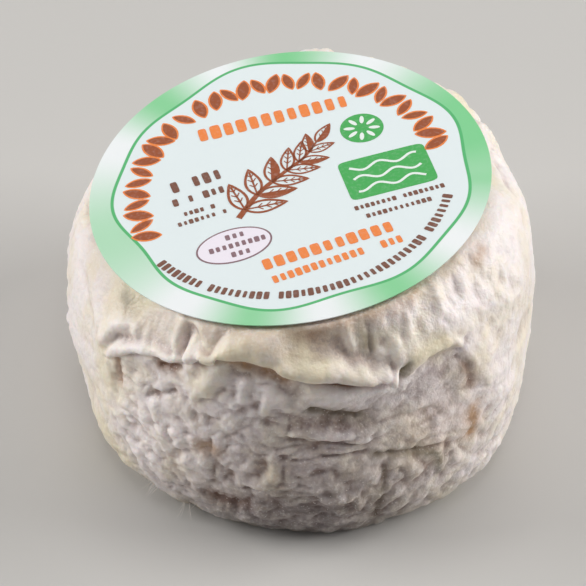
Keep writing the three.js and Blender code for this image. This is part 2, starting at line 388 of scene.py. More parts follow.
@dataclass(frozen=True)
class BloomyRind:
    """Ripened goat's cheese rind: soft waxy paste under a thin powdery bloom, formed wet and dried in air.

    Light goes a little way into it, so its edges glow. The rolls are bare and creamy, the hollows keep a
    greyish lilac bloom, and the pits are stained ochre and brown. Painted shade deepens the grey and ochre
    in the hollows and greys the front wall, the crests' powder is partly a painted highlight, a painted warm
    shadow lies just under the label's rim, and a dark painted shade lies at the foot of the front wall.

    Attributes:
        noises: Wave in millimetres and detail of the patches, the mottle, the grain and the grit.
        bumps: Strength and depth in millimetres of the grit, the grain and the mottle.
        patch_bloom, mottled_grey, mottled_stain, grainy_gloss: Range of the noise and of what it gives.
        powder_and_highlight_grain, shade_grain, speck_size, speck_grain: Range of the noise over which it
        fades in; the powder is partly a painted highlight on the crests, and the shade is painted shade in
        the hollows.
    """

    cream: str = "#ECE1C8"
    bloom: str = "#F2E9E7"
    # The lilac grey of the bloom, also the colour of the painted shade.
    grey: str = "#98888C"
    # The dark colour of the painted shade at the foot of the front wall.
    dusk: str = "#453B3B"
    ochre: str = "#B58F6C"
    brown: str = "#86604A"
    olive: str = "#857A60"
    speck: str = "#F7F3EF"
    noises: Pairs = ((8.0, 3.0), (1.9, 2.0), (0.55, 2.0), (0.28, 2.0))
    bumps: Pairs = ((0.6, 0.08), (0.8, 0.15), (0.6, 0.5))
    speck_wave: float = 0.55
    cream_cover: float = 0.85
    powder_and_highlight_share: float = 0.4
    shade_share: float = 0.3
    barest_dust: float = 0.5
    patch_bloom: tuple[float, ...] = (0.35, 0.65, -0.35, 0.35)
    mottled_grey: tuple[float, ...] = (0.3, 0.62, 0.35, 1.0)
    mottled_stain: tuple[float, ...] = (0.2, 0.6, 0.6, 1.0)
    grainy_gloss: tuple[float, ...] = (0.35, 0.65, 0.3, 0.58)
    powder_and_highlight_grain: tuple[float, ...] = (0.45, 0.68)
    shade_grain: tuple[float, ...] = (0.55, 0.35)
    speck_size: tuple[float, ...] = (0.30, 0.12)
    speck_grain: tuple[float, ...] = (0.42, 0.6)

    def build(self) -> Material:
        """Builds the material, which reads Object coordinates and the marks of the rind.

        Returns:
            The material.
        """
        material, add = new_material("Bloomy cheese rind")
        place = add(Kind.PLACE, (), "Object")
        marks = {mark: add("ShaderNodeAttribute", (), "Fac", attribute_name=mark.value) for mark in RindMark}
        cream = marks[RindMark.CREAM]
        patches, mottle, grain, grit = (
            add(Kind.NOISE, {"Vector": place, "Scale": per_metre(wave), "Detail": detail, "Roughness": 0.6})
            for wave, detail in self.noises
        )
        specks = add("ShaderNodeTexVoronoi", {"Vector": place, "Scale": per_metre(self.speck_wave)})

        patchy = add(Kind.EASE, (patches, *self.patch_bloom))
        bloom_share = add(Kind.PLUS, (marks[RindMark.BLOOM], patchy))
        greyed = add(Kind.EASE, (mottle, *self.mottled_grey))
        layers = [
            (add(Kind.MINUS, (bloom_share, cream), use_clamp=True), self.bloom),
            # Grey bloom, deepened into painted shade where the mark is strong.
            (add(Kind.TIMES, (marks[RindMark.GREY], greyed)), self.grey),
        ]
        stained = add(Kind.EASE, (mottle, *self.mottled_stain))
        # The stains, and last the painted shade at the foot of the front wall.
        for mark, stain in (
            (RindMark.OCHRE, self.ochre), (RindMark.OLIVE, self.olive),
            (RindMark.BROWN, self.brown), (RindMark.DUSK, self.dusk),
        ):
            layers.append((add(Kind.TIMES, (marks[mark], stained), use_clamp=True), stain))
        dull = add(Kind.MINUS, (1.0, add(Kind.TIMES, (cream, self.cream_cover))), use_clamp=True)
        # Powder on the crests, which is partly a painted highlight; then painted shade in the hollows, and
        # white specks of dust.
        powder = add(Kind.TIMES, (add(Kind.EASE, (grain, *self.powder_and_highlight_grain)), marks[RindMark.CREST]))
        powder = add(Kind.TIMES, (powder, dull))
        shade = add(Kind.TIMES, (add(Kind.EASE, (grain, *self.shade_grain)), marks[RindMark.HOLLOW]))
        dusty = add(Kind.EASE, (grain, *self.speck_grain))
        dust = add(Kind.TIMES, (add(Kind.EASE, (specks, *self.speck_size)), dusty))
        uncovered = add(Kind.MINUS, (self.barest_dust, cream), use_clamp=True)
        layers += [
            (add(Kind.TIMES, (powder, self.powder_and_highlight_share)), self.speck),
            (add(Kind.TIMES, (shade, self.shade_share)), self.grey),
            (add(Kind.TIMES, (dust, uncovered)), self.speck),
        ]
        colour = self.cream
        for share, tint in layers:
            inputs = {"Factor_Float": share, "A_Color": colour, "B_Color": tint}
            colour = add(Kind.BLEND, inputs, "Result_Color")

        relief = {}
        for height, (strength, depth) in zip((grit, add(Kind.TIMES, (grain, dull)), mottle), self.bumps):
            inputs = {"Height": height, "Strength": strength, "Distance": depth * MM, **relief}
            relief = {"Normal": add(Kind.BUMP, inputs)}
        add(Kind.SURFACE, {"Surface": add(Kind.SHADER, {
            "Base Color": colour,
            "Roughness": add(Kind.EASE, (grain, *self.grainy_gloss)),
            "IOR": 1.45,
            "Specular IOR Level": 0.5,
            "Subsurface Weight": 0.4,
            "Subsurface Radius": (1.0, 0.72, 0.5),
            "Subsurface Scale": 1.1 * MM,
            **relief,
        })})
        return material


@dataclass(frozen=True)
class WhiteMould:
    """White surface mould in tufts and grains: thin dry threads and powder, translucent and dull."""

    colour: str = "#EAE3DC"
    shade: str = "#CFC6BF"
    wave: float = 0.7

    def build(self) -> Material:
        """Builds the material.

        Returns:
            The material.
        """
        material, add = new_material("White mould threads")
        place = add(Kind.PLACE, (), "Object")
        tone = add(Kind.NOISE, {"Vector": place, "Scale": per_metre(self.wave), "Detail": 2.0})
        share = add(Kind.EASE, (tone, 0.35, 0.65))
        inputs = {"Factor_Float": share, "A_Color": self.shade, "B_Color": self.colour}
        add(Kind.SURFACE, {"Surface": add(Kind.SHADER, {
            "Base Color": add(Kind.BLEND, inputs, "Result_Color"),
            "Roughness": 0.6,
            "Subsurface Weight": 0.3,
            "Subsurface Radius": (1.0, 0.8, 0.6),
            "Subsurface Scale": 0.4 * MM,
        })})
        return material


@dataclass(frozen=True)
class CoatedPaper:
    """Coated label paper, printed offset: a pale mint ground with a soft green and white ring.

    The coating gives a satin sheen, and the wet rind makes the sheet very slightly uneven.

    Attributes:
        ring_tones: Bearing on the label of each tone of the ring, and how green it is there.
        line_waves: Waves in a turn, height and phase in degrees of each swing of the wavy line.
        edge: Half the soft edge between ground and ring.
        line_edge: Half the soft edge of the wavy line.
    """

    ground: str = "#E4EEF0"
    ring_white: str = "#F0F4F6"
    ring_green: str = "#84D196"
    line_green: str = "#5DB878"
    radius: float = 30.0
    line_radius: float = 26.56
    line_width: float = 0.5
    edge: float = 0.05
    line_edge: float = 0.06
    fibre_wave: float = 0.35
    sheet_wave: float = 9.0
    ring_tones: Pairs = (
        (14, 1), (40, 0.85), (66, 0), (92, 1), (112, 0), (134, 0.95), (155, 0), (182, 0.5), (203, 0.65),
        (222, 0.35), (240, 0), (259, 0.9), (280, 0), (302, 0.95), (327, 0), (352, 0.75),
    )
    line_waves: Sequence[tuple[int, float, float]] = (
        (1, 0.76, 44), (2, 0.4, 237), (4, 0.26, 108), (5, 0.39, 285), (9, 0.43, 208),
    )

    def build(self) -> Material:
        """Builds the material, which reads the label's own UV map.

        Returns:
            The material.
        """
        material, add = new_material("Coated label paper")
        place, object_place = add(Kind.PLACE, (), "UV", "Object")
        middle = add("ShaderNodeVectorMath", (place, (0.5, 0.5, 0.0)), operation="SUBTRACT")
        across, up = add(Kind.SPLIT, (middle,), "X", "Y")
        length = add("ShaderNodeVectorMath", (middle,), "Value", operation="LENGTH")
        reach = add(Kind.TIMES, (length, 2 * self.radius))
        angle = add("ShaderNodeMath", (up, across), operation="ARCTAN2")
        turns = add("ShaderNodeMath", (angle, math.tau), operation="DIVIDE")
        turn = add("ShaderNodeMath", (add(Kind.PLUS, (turns, 1.0)),), operation="FRACT")

        greenness = add("ShaderNodeValToRGB", (turn,))
        ramp = greenness.node.color_ramp
        ramp.interpolation = "CARDINAL"
        stops = self.ring_stops()
        while len(ramp.elements) < len(stops):
            ramp.elements.new(0.5)
        for element, (position, green) in zip(ramp.elements, stops):
            element.position = position
            element.color = (green, green, green, 1.0)
        inputs = {"Factor_Float": greenness, "A_Color": self.ring_white, "B_Color": self.ring_green}
        ring = add(Kind.BLEND, inputs, "Result_Color")

        line = self.line_radius
        for count, height, phase in self.line_waves:
            swing = add(Kind.PLUS, (add(Kind.TIMES, (angle, count)), math.radians(phase)))
            swing = add("ShaderNodeMath", (swing,), operation="SINE")
            line = add(Kind.PLUS, (add(Kind.TIMES, (swing, height)), line))
        off_line = add(Kind.MINUS, (reach, line))
        from_line = add("ShaderNodeMath", (off_line,), operation="ABSOLUTE")
        half = self.line_width / 2
        on_line = add(Kind.EASE, (from_line, half - self.line_edge, half + self.line_edge, 1.0, 0.0))
        colour = self.ground
        for share, tint in (
            (add(Kind.EASE, (off_line, -self.edge, self.edge)), ring), (on_line, self.line_green),
        ):
            inputs = {"Factor_Float": share, "A_Color": colour, "B_Color": tint}
            colour = add(Kind.BLEND, inputs, "Result_Color")

        fibre, uneven = (
            add(Kind.NOISE, {"Vector": object_place, "Scale": per_metre(wave), "Detail": detail})
            for wave, detail in ((self.fibre_wave, 3.0), (self.sheet_wave, 1.0))
        )
        fine = add(Kind.BUMP, {"Height": fibre, "Strength": 0.1, "Distance": 0.02 * MM})
        broad = add(Kind.BUMP, {"Height": uneven, "Strength": 0.35, "Distance": 0.3 * MM, "Normal": fine})
        add(Kind.SURFACE, {"Surface": add(Kind.SHADER, {
            "Base Color": colour,
            "Roughness": add(Kind.EASE, (fibre, 0.3, 0.7, 0.5, 0.6)),
            "IOR": 1.5,
            "Specular IOR Level": 0.28,
            "Subsurface Weight": 0.08,
            "Subsurface Radius": (1.0, 1.0, 1.0),
            "Subsurface Scale": 0.3 * MM,
            "Normal": broad,
        })})
        return material

    def ring_stops(self) -> list[tuple[float, float]]:
        """Works out the stops of the ring's colour ramp.

        Returns:
            Turns from 0 to 1 and how green they are, closed at both ends with the same tone.
        """
        tones = [(bearing / 360, green) for bearing, green in self.ring_tones]
        (first, first_green), (last, last_green) = tones[0], tones[-1]
        closing = last_green + (first_green - last_green) * (1 - last) / (1 - last + first)
        return [(0.0, closing), *tones, (1.0, closing)]


@dataclass(frozen=True)
class PrintingInk:
    """Offset printing ink on coated paper: a thin even film that soaks in a little and keeps a soft gloss."""

    name: str
    colour: str
    paper: str = "#E4EEF0"
    wave: float = 0.5
    most_soaked: float = 0.1

    def build(self) -> Material:
        """Builds the material.

        Returns:
            The material.
        """
        material, add = new_material(self.name)
        place = add(Kind.PLACE, (), "Object")
        soak = add(Kind.NOISE, {"Vector": place, "Scale": per_metre(self.wave), "Detail": 2.0})
        thin = add(Kind.TIMES, (add(Kind.EASE, (soak, 0.45, 0.8)), self.most_soaked))
        inputs = {"Factor_Float": thin, "A_Color": self.colour, "B_Color": self.paper}
        add(Kind.SURFACE, {"Surface": add(Kind.SHADER, {
            "Base Color": add(Kind.BLEND, inputs, "Result_Color"),
            "Roughness": 0.52,
            "IOR": 1.5,
            "Specular IOR Level": 0.3,
        })})
        return material


@dataclass(frozen=True)
class PaleFloor:
    """A matt painted board: an even pale grey with a trace of roller texture."""

    colour: str = "#C4C2BF"
    wave: float = 1.5

    def build(self) -> Material:
        """Builds the material.

        Returns:
            The material.
        """
        material, add = new_material("Matt painted board")
        place = add(Kind.PLACE, (), "Object")
        texture = add(Kind.NOISE, {"Vector": place, "Scale": per_metre(self.wave), "Detail": 2.0})
        bump = add(Kind.BUMP, {"Height": texture, "Strength": 0.1, "Distance": 0.05 * MM})
        inputs = {"Base Color": self.colour, "Roughness": 0.8, "Normal": bump}
        add(Kind.SURFACE, {"Surface": add(Kind.SHADER, inputs)})
        return material


@dataclass(frozen=True)
class Fold:
    """A roll or a crease of the rind along a path of bearings and skin heights.

    Attributes:
        rise: How far it stands proud; a crease has a rise below 0.
        groove: How deep the groove is that runs along each side of a roll.
    """

    name: str
    path: Pairs
    width: float
    rise: float
    groove: float = 0.0


@dataclass(frozen=True)
class Patch:
    """A soft-edged place on the rind: its middle, its reach each way in millimetres, and its strength."""

    bearing: float
    skin: float
    across: float
    along: float
    strength: float = 1.0


@dataclass(frozen=True)
class Stain:
    """A coloured pit or crease along a path of bearings and skin heights."""

    mark: RindMark
    path: Pairs
    width: float
    strength: float = 1.0


@dataclass(frozen=True)
class Wrinkles:
    """One kind of wrinkle: its depth, its wave lengths round and up the wall, and where it shows."""

    name: str
    depth: float
    around: float
    along: float
    seed: int
    places: tuple[Patch, ...]
    elsewhere: float = 0.0


# The folds that the front shows one by one: first the rolls, then the valleys, pits and creases.
FOLDS = (
    Fold("collar roll", (
        (243.5, 38.6), (247, 40.2), (252, 41.4), (258, 41.9), (264, 41.4), (268, 40.1), (273, 39.3),
        (279, 38.8), (284, 37.5), (289, 36.4), (291.5, 35.3),
    ), 1.55, 1.15, 0.65),
    Fold("collar drape", ((266, 39.8), (270, 38.4), (276, 38.1), (281, 37.6), (286, 36.6)), 1.2, 0.45, 0.2),
    Fold("collar stem", ((281, 43), (282.5, 40.5), (285, 38.2)), 0.9, 0.35, 0.1),
    Fold("middle upright roll", ((290.5, 34.5), (292.5, 36.5), (293, 38.5), (293.2, 40.5)), 0.9, 0.3, 0.15),
    Fold("arch roll", ((295, 35.0), (298, 36.0), (302, 36.5), (306, 36.3), (309, 35.4)), 1.3, 0.55, 0.1),
    Fold("arch end", ((309, 35.4), (311.5, 33.4), (313, 30)), 0.9, 0.35, 0.1),
    Fold("nose roll", ((251.5, 38.6), (250, 36), (248, 33.5)), 1.9, 0.4, 0.2),
    Fold("small nose", ((257.5, 36), (257, 33), (255.5, 31.2)), 1.2, 0.4, 0.25),
    Fold("left branch", (
        (243.5, 38.6), (238, 37.2), (233, 36.6), (228, 35.8), (222, 33.5), (217.5, 30.5),
    ), 1.3, 0.5, 0.3),
    Fold("left shelf", ((215.5, 30.2), (215, 33.5), (219, 36.5), (225, 37.8)), 1.5, 0.35, 0.2),
    Fold("left stub", ((238, 43), (240, 41.5), (238.5, 39.2)), 1.2, 0.35, 0.25),
    Fold("low shelf", ((256.5, 16.2), (262, 16.8), (264.5, 19), (264.5, 22)), 1.2, 0.5, 0.3),
    Fold("low roll", ((275.5, 13.8), (282.5, 14), (283.5, 11)), 1.1, 0.4, 0.3),
    Fold("waist roll", ((269.5, 27), (277, 26.5), (284.5, 25)), 1.3, 0.35, 0.25),
    Fold("low right wrinkle", ((302.5, 17.5), (304, 12.5)), 1.0, 0.25, 0.15),
    Fold("outer shoulder pillar", ((297, 42.5), (297, 39.9)), 0.95, 0.2, 0.1),
    Fold("far shoulder pillar", ((307.5, 44), (306.5, 41)), 1.0, 0.2, 0.1),
    Fold("brown pit", ((235, 34), (240.5, 35.2)), 0.9, -0.7),
    Fold("collar pit", ((256, 39.4), (262, 38.6), (267, 36.8)), 0.8, -0.5),
    Fold("left crease", ((220.5, 29.5), (221.5, 25.2)), 0.8, -0.5),
    Fold("collar valley", (
        (265, 42.4), (269, 41.5), (274, 41.0), (279, 40.8), (284, 40.1), (288, 39.6),
    ), 1.3, -0.1),
    Fold("left valley", ((247, 42.9), (253, 43.3), (259, 43.1)), 1.0, -0.2),
    Fold("right valley", ((293, 42.3), (298, 42.0), (303, 42.8)), 1.1, -0.15),
    Fold("stem pit", ((287.5, 41.5), (288, 39.5)), 0.8, -0.45),
    Fold("arch start crease", ((295.5, 36.3), (293.8, 34.4)), 0.7, -0.6),
    Fold("arch crease", ((308.5, 32.5), (310.8, 30.2), (311.5, 27)), 0.9, -0.35),
    Fold("upper wall crease", ((273, 30.8), (277, 29.6), (283.5, 28.4)), 0.8, -0.6),
    Fold("middle wall crease", ((268, 25), (276, 24.2), (283, 24)), 0.6, -0.45),
    Fold("lower wall crease", ((269, 21.6), (277, 22.2), (285, 21.8)), 0.6, -0.45),
    Fold("long wall crease", ((287.5, 20.8), (293.5, 19.8), (302.5, 18.4)), 0.7, -0.5),
    Fold("low upright crease", ((289.5, 18), (289.5, 13.5), (288.5, 6.2)), 0.7, -0.4),
    Fold("base recess", ((250.5, 10), (256.5, 9.8)), 1.1, -0.6),
    Fold("left wall pits", ((232.5, 27.5), (239.5, 29.8)), 0.9, -0.5),
    Fold("grey pit", ((261.5, 34.2), (260.5, 31.2)), 0.9, -0.5),
    Fold("right crease", ((305, 17.5), (304, 12)), 0.7, -0.25),
)

# Ripe spots in pits and creases, and a warm line just under the label's rim that is painted shadow.
STAINS = (
    Stain(RindMark.BROWN, ((235, 34), (238.5, 34.5)), 1.3, 1),
    Stain(RindMark.OCHRE, ((255, 39.4), (258, 39.4)), 1.1, 0.94),
    Stain(RindMark.OCHRE, ((261, 39), (267, 37)), 1.2, 0.81),
    Stain(RindMark.BROWN, ((278, 36.6), (281, 35.6), (285.5, 35.4)), 0.9, 0.94),
    Stain(RindMark.OLIVE, ((286, 41.5), (287, 39.8)), 0.9, 0.81),
    # These two follow the label's front rim: a warm shadow painted as an ochre line.
    Stain(RindMark.OCHRE, ((246, 42.6), (252, 43.2), (260, 42.4), (268, 41.6), (274, 41.5)), 0.9, 0.25),
    Stain(RindMark.OCHRE, ((275, 41.9), (284, 42.3), (292, 43.0), (303, 43.8)), 0.9, 0.3),
    Stain(RindMark.OLIVE, ((295.5, 36.5), (294, 34.8)), 0.9, 0.88),
    Stain(RindMark.BROWN, ((310.5, 30.2), (311.5, 27)), 1.4, 0.74),
    Stain(RindMark.OCHRE, ((312, 21.4), (312, 17.2)), 1.6, 0.81),
    Stain(RindMark.OLIVE, ((287.5, 20.8), (293.5, 19.8), (302.5, 17), (304, 12.5)), 0.9, 0.68),
    Stain(RindMark.OLIVE, ((273, 30.6), (283.5, 28.4)), 1.4, 0.68),
    Stain(RindMark.OCHRE, ((247.5, 21.8), (250.5, 21.6)), 1.5, 0.81),
    Stain(RindMark.BROWN, ((250.5, 10), (256.5, 9.8)), 1.8, 0.68),
    Stain(RindMark.OLIVE, ((217, 40.4), (219, 40)), 1.0, 0.68),
    Stain(RindMark.OCHRE, ((328, 42.8), (324, 42.5)), 1.1, 0.68),
    Stain(RindMark.OLIVE, ((289.5, 17), (288, 6.2)), 0.8, 0.54),
    Stain(RindMark.OCHRE, ((220.5, 29.5), (221.5, 25.2)), 0.9, 0.54),
)

# Bare creamy rolls and rims. In this table and the next, bearings below 180 are at the back.
CREAM_PLACES = (
    Patch(254, 41, 9, 2, 0.8), Patch(274, 39.6, 12, 2.4, 0.95), Patch(284, 38, 6, 2.2, 0.8),
    Patch(303, 36.4, 8, 2, 0.9), Patch(314.5, 31, 3, 5, 0.6), Patch(249, 35, 3, 4, 0.6),
    Patch(215, 24, 5, 14, 0.5), Patch(336, 18, 8, 10, 0.2), Patch(232, 42, 14, 4, 0.45),
    Patch(211, 7, 11, 9, 0.75), Patch(233, 2.5, 10, 3, 0.7), Patch(309, 3, 11, 3.5, 0.6),
    Patch(265, 2, 30, 2.2, 0.4), Patch(268, 44, 16, 2.4, 0.4), Patch(264, 19, 3, 3, 0.4),
    Patch(285, 19, 8, 2, 0.4), Patch(60, 38, 26, 3, 0.8), Patch(130, 36, 22, 4, 0.7),
    Patch(95, 20, 10, 8, 0.4), Patch(20, 30, 10, 12, 0.4),
)

# Where the bloom is greyest; low on the front wall this grey is also painted shade.
GREY_BLOOM_AND_SHADE_PLACES = (
    Patch(272, 24, 17, 12, 1.0), Patch(272, 9, 30, 9, 1.0), Patch(302, 31, 9, 5, 0.85),
    Patch(296, 12, 12, 8, 0.8), Patch(250, 25, 8, 9, 0.5), Patch(240, 12, 14, 8, 0.4),
    Patch(316, 10, 12, 8, 0.4), Patch(233, 28, 10, 4, 0.5), Patch(255, 35, 7, 3, 0.45),
    Patch(322, 42, 12, 5, 0.35), Patch(298, 42, 8, 4, 0.15), Patch(340, 30, 18, 16, 0.25),
    Patch(60, 20, 22, 12, 0.7), Patch(120, 12, 20, 9, 0.7), Patch(160, 28, 14, 8, 0.5),
    Patch(90, 28, 16, 6, 0.6),
)

# The small relief of the wall, coarsest first.
WRINKLES = (
    Wrinkles("upright shoulder wrinkles", 0.5, 2.5, 4.4, 11, (
        Patch(304, 41, 16, 6), Patch(244, 41.8, 16, 4, 0.9), Patch(325, 36, 12, 8), Patch(60, 38, 30, 8),
        Patch(150, 40, 26, 8),
    ), 0.1),
    Wrinkles("upright wall lumps", 0.75, 2.9, 5.2, 16, (
        Patch(247, 17, 13, 13), Patch(296, 13, 12, 9), Patch(262, 32, 12, 4), Patch(40, 16, 18, 12),
        Patch(140, 20, 20, 12),
    ), 0.2),
    Wrinkles("level wall wrinkles", 0.65, 6.0, 1.9, 12, (
        Patch(276, 25, 11, 8), Patch(300, 22, 8, 6, 0.7), Patch(100, 18, 22, 9), Patch(15, 22, 12, 8),
    ), 0.08),
    Wrinkles("crinkled wall lumps", 0.66, 3.6, 3.0, 13, (
        Patch(228, 20, 14, 14), Patch(318, 12, 14, 10), Patch(276, 10, 18, 8), Patch(60, 14, 24, 10),
        Patch(180, 16, 18, 12),
    ), 0.25),
    Wrinkles("small lumps", 0.3, 1.9, 1.7, 14, (Patch(270, 16, 60, 18), Patch(90, 16, 60, 18)), 0.5),
    Wrinkles("granules", 0.14, 1.0, 0.95, 15, (Patch(270, 14, 60, 18), Patch(90, 14, 60, 18)), 0.6),
)

# Where the painted warm shadow under the label's rim is strongest, where painted shade darkens the foot of
# the wall, tan places, lumps and hollows wider than a fold, and where the CAD solid's folds are evened out.
# Where the painted shadow under the label's rim is warmest.
RIM_SHADOW_PLACE = Patch(288, 44, 16, 12)
# Painted shade at the foot of the front wall, with a weak one at the back.
PAINTED_FOOT_SHADE_PLACES = (Patch(269, 3, 25, 9, 0.8), Patch(273, 10, 15, 10, 0.7), Patch(85, 2, 30, 5, 0.35))
TAN_PLACES = (
    Patch(301, 21, 9, 8, 0.3), Patch(272, 14, 18, 10, 0.2), Patch(150, 20, 12, 9, 0.3),
    Patch(30, 16, 10, 8, 0.3),
)
SWELLS = (
    Patch(86, 39.5, 4.5, 4, 1.5), Patch(64, 39, 8, 5, 1.2), Patch(44, 38.5, 7, 5, 1.5),
    Patch(25, 38, 8, 6, 1.2), Patch(311.5, 29.5, 4, 5, 0.9), Patch(219, 33, 3.5, 4, 0.5),
    Patch(262, 36.2, 8, 2, 0.5), Patch(277, 32.5, 8, 3, 0.7),
)
DENTS = (Patch(273, 36.4, 9, 1.9, 1.1), Patch(284, 35.8, 8, 1.8, 1.0), Patch(261, 38.0, 7, 1.5, 0.8))
EVENED = (
    Patch(274, 36.8, 15, 3.2, 0.85), Patch(290, 38, 6, 6, 0.9), Patch(303, 36, 9, 5, 0.85),
    Patch(312, 30, 6, 7, 0.9), Patch(289, 12, 5, 9, 0.75), Patch(303, 15, 5, 6, 0.7),
)
SMOOTH_FLANKS = (Patch(348, 28, 13, 26), Patch(196, 26, 13, 26))


@dataclass
class Cheese:
    """The body of the cheese, from the CAD solid's rings of points to the finely wrinkled piece.

    Attributes:
        node: The CAD node that it stands for.
        label: The label that lies on it.
        crowded_share: The share of the rows that lie below crowded_skin.
        reach: The wall's usual distance from the axis.
        relief_kept: The share of the CAD solid's folds that is kept.
        warp_wave, warp_depth, warp_shifts: How the wrinkles are bent, in millimetres.
        groove_place, groove_width: Where a roll's groove lies, in widths of the roll, and how wide it is.
        hollow_depths, crest_depths: Weights of the coarse and the fine depth, and the depth of a full mark.
        rim_front, rim_out, rim_in, rim_top: Where the raised skin fades: round the wall, outside and
            inside the label's edge, and up the skin.
        free_top, free_out, free_foot: Where the small relief fades: up the skin, towards the label and
            towards the base.
        rim_shadow_out, rim_shadow_in: Where the painted warm shadow under the rim fades, outside and inside
            the label's edge.
        merge_steps: Steps in a millimetre to which points are rounded before they are merged.
        rim_gap: How far under the label the skin stays that is raised round rim_bearing.
    """

    node: Piece
    label: Label
    skin_length: float = 51.4
    plain_top_rings: int = 2
    sides: int = 528
    rows: int = 168
    crowded_skin: float = 48.0
    crowded_share: float = 0.95
    reach: float = 36.0
    relief_kept: float = 0.3
    deepest_hollow: float = 0.35
    proudest_fold: float = 0.7
    coarse_blur: float = 3.0
    fine_blur: float = 1.1
    merge_steps: int = 1000
    flank_evening: float = 0.1
    flank_smoothness: float = 0.6
    cream_smoothness: float = 0.45
    patch_softness: float = 1.2
    warp_wave: float = 6.0
    warp_depth: float = 1.3
    warp_shifts: tuple[float, ...] = (0.0, 17.3, 31.7)
    groove_place: float = 1.15
    groove_width: float = 0.55
    hollow_depths: tuple[float, float, float] = (0.55, 1.6, 0.9)
    crest_depths: tuple[float, float, float] = (0.55, 1.2, 0.8)
    rim_front: Span = (18.0, 30.0)
    rim_out: Span = (0.2, 3.2)
    rim_in: Span = (-9.0, -5.0)
    rim_top: Span = (38.0, 41.0)
    free_top: Span = (38.0, 42.0)
    free_out: Span = (-0.6, 1.6)
    free_foot: Span = (0.0, 2.5)
    # Where the painted warm shadow under the label's rim fades.
    rim_shadow_out: Span = (0.3, 2.0)
    rim_shadow_in: Span = (-3.0, -1.0)
    rim_gap: float = 0.6
    most_raised: float = 3.2
    rim_bearing: float = 268.0
    seed: int = 5
    axis: Array = field(init=False)

    def __post_init__(self) -> None:
        """Sets out the grid's skin heights and bearings."""
        crowded = int(self.rows * self.crowded_share)
        self.skins = np.concatenate([
            np.linspace(0, self.crowded_skin, crowded, endpoint=False),
            np.linspace(self.crowded_skin, self.skin_length, self.rows - crowded),
        ])
        self.bearings = np.arange(self.sides) * 360 / self.sides

    def read_rings(self) -> Array:
        """Reads the CAD solid as rings of points, lowest first.

        Returns:
            An array of ring, side and place in millimetres, with the axis of the base at the origin.
        """
        loose = solid_points(self.node)
        keys = np.round(loose * self.merge_steps).astype(int)
        _, first, merged = np.unique(keys, axis=0, return_index=True, return_inverse=True)
        points, faces = loose[first], merged.ravel()[corner_vertices(self.node.data)].reshape(-1, 3)

        poles = np.argsort(np.bincount(faces.ravel()))[-2:]
        base = poles[np.argmin(points[poles, 2])]
        pairs = np.concatenate([faces[:, [0, 1]], faces[:, [1, 2]], faces[:, [2, 0]]])
        pairs = np.concatenate([pairs, pairs[:, ::-1]])
        level = np.full(len(points), -1)
        level[base] = 0
        for step in range(len(points)):
            beyond = pairs[level[pairs[:, 0]] == step, 1]
            beyond = beyond[level[beyond] < 0]
            if not len(beyond):
                break
            level[beyond] = step + 1

        self.axis = points[base] * (1, 1, 0)
        centred = points - self.axis
        side_count = int(np.count_nonzero(level == 1))
        rings = np.empty((int(level.max()) - 1, side_count, 3))
        turn = np.arctan2(centred[:, 1], centred[:, 0]) / math.tau * side_count
        side = np.round(turn).astype(int) % side_count
        for number, ring in enumerate(rings, 1):
            members = np.nonzero(level == number)[0]
            ring[side[members]] = centred[members]
        return rings

    @staticmethod
    def resample(values: Array, places: Array, periodic: bool) -> Array:
        """Reads values along their first axis at fractional places, on a smooth curve through them.

        Args:
            values: The values.
            places: Where to read, counted in steps of the first axis.
            periodic: Whether the axis closes on itself.

        Returns:
            The values at the places.
        """
        before = np.floor(places).astype(int)
        t = (places - before).reshape(-1, *([1] * (values.ndim - 1)))
        weights = (
            -0.5 * t + t ** 2 - 0.5 * t ** 3,
            1 - 2.5 * t ** 2 + 1.5 * t ** 3,
            0.5 * t + 2 * t ** 2 - 1.5 * t ** 3,
            -0.5 * t ** 2 + 0.5 * t ** 3,
        )
        result = 0.0
        for offset, weight in enumerate(weights, -1):
            index = before + offset
            index = index % len(values) if periodic else np.clip(index, 0, len(values) - 1)
            result = result + weight * values[index]
        return result

    @staticmethod
    def normals(points: Array) -> Array:
        """Works out which way the skin faces.

        Args:
            points: The grid.

        Returns:
            The outward direction at each point.
        """
        around = np.roll(points, -1, 1) - np.roll(points, 1, 1)
        direction = np.cross(around, np.gradient(points, axis=0))
        return direction / np.maximum(np.linalg.norm(direction, axis=-1, keepdims=True), 1e-9)

    def smoothed(self, values: Array, radius: float) -> Array:
        """Blurs a field over the grid.

        Args:
            values: The field, with row and side as its first axes.
            radius: The blur's radius in millimetres.

        Returns:
            The blurred field.
        """
        sides = np.arange(self.sides)
        apart = np.abs(sides[:, None] - sides[None])
        apart = np.minimum(apart, self.sides - apart) * (math.tau * self.reach / self.sides)
        around = np.exp(-0.5 * (apart / radius) ** 2)
        along = np.exp(-0.5 * ((self.skins[:, None] - self.skins[None]) / radius) ** 2)
        around /= around.sum(1, keepdims=True)
        along /= along.sum(1, keepdims=True)
        values = np.einsum("kl,jl...->jk...", around, values, optimize=True)
        return np.einsum("ij,jk...->ik...", along, values, optimize=True)

    def apart(self, bearing: float) -> Array:
        """Gives the way round the wall from each side to a bearing, in millimetres."""
        return np.radians((self.bearings - bearing + 180) % 360 - 180) * self.reach

    def distance_to(self, path: Pairs) -> Array:
        """Gives the distance over the skin from each point of the grid to a path.

        Args:
            path: Bearings and skin heights.

        Returns:
            Distances in millimetres.
        """
        nearest = np.full((len(self.skins), self.sides), np.inf)
        for (bearing, skin), (next_bearing, next_skin) in zip(path, path[1:]):
            width = math.radians((next_bearing - bearing + 180) % 360 - 180) * self.reach
            height = next_skin - skin
            x = self.apart(bearing)[None, :]
            y = (self.skins - skin)[:, None]
            share = np.clip((x * width + y * height) / (width ** 2 + height ** 2), 0, 1)
            nearest = np.minimum(nearest, np.hypot(x - share * width, y - share * height))
        return nearest

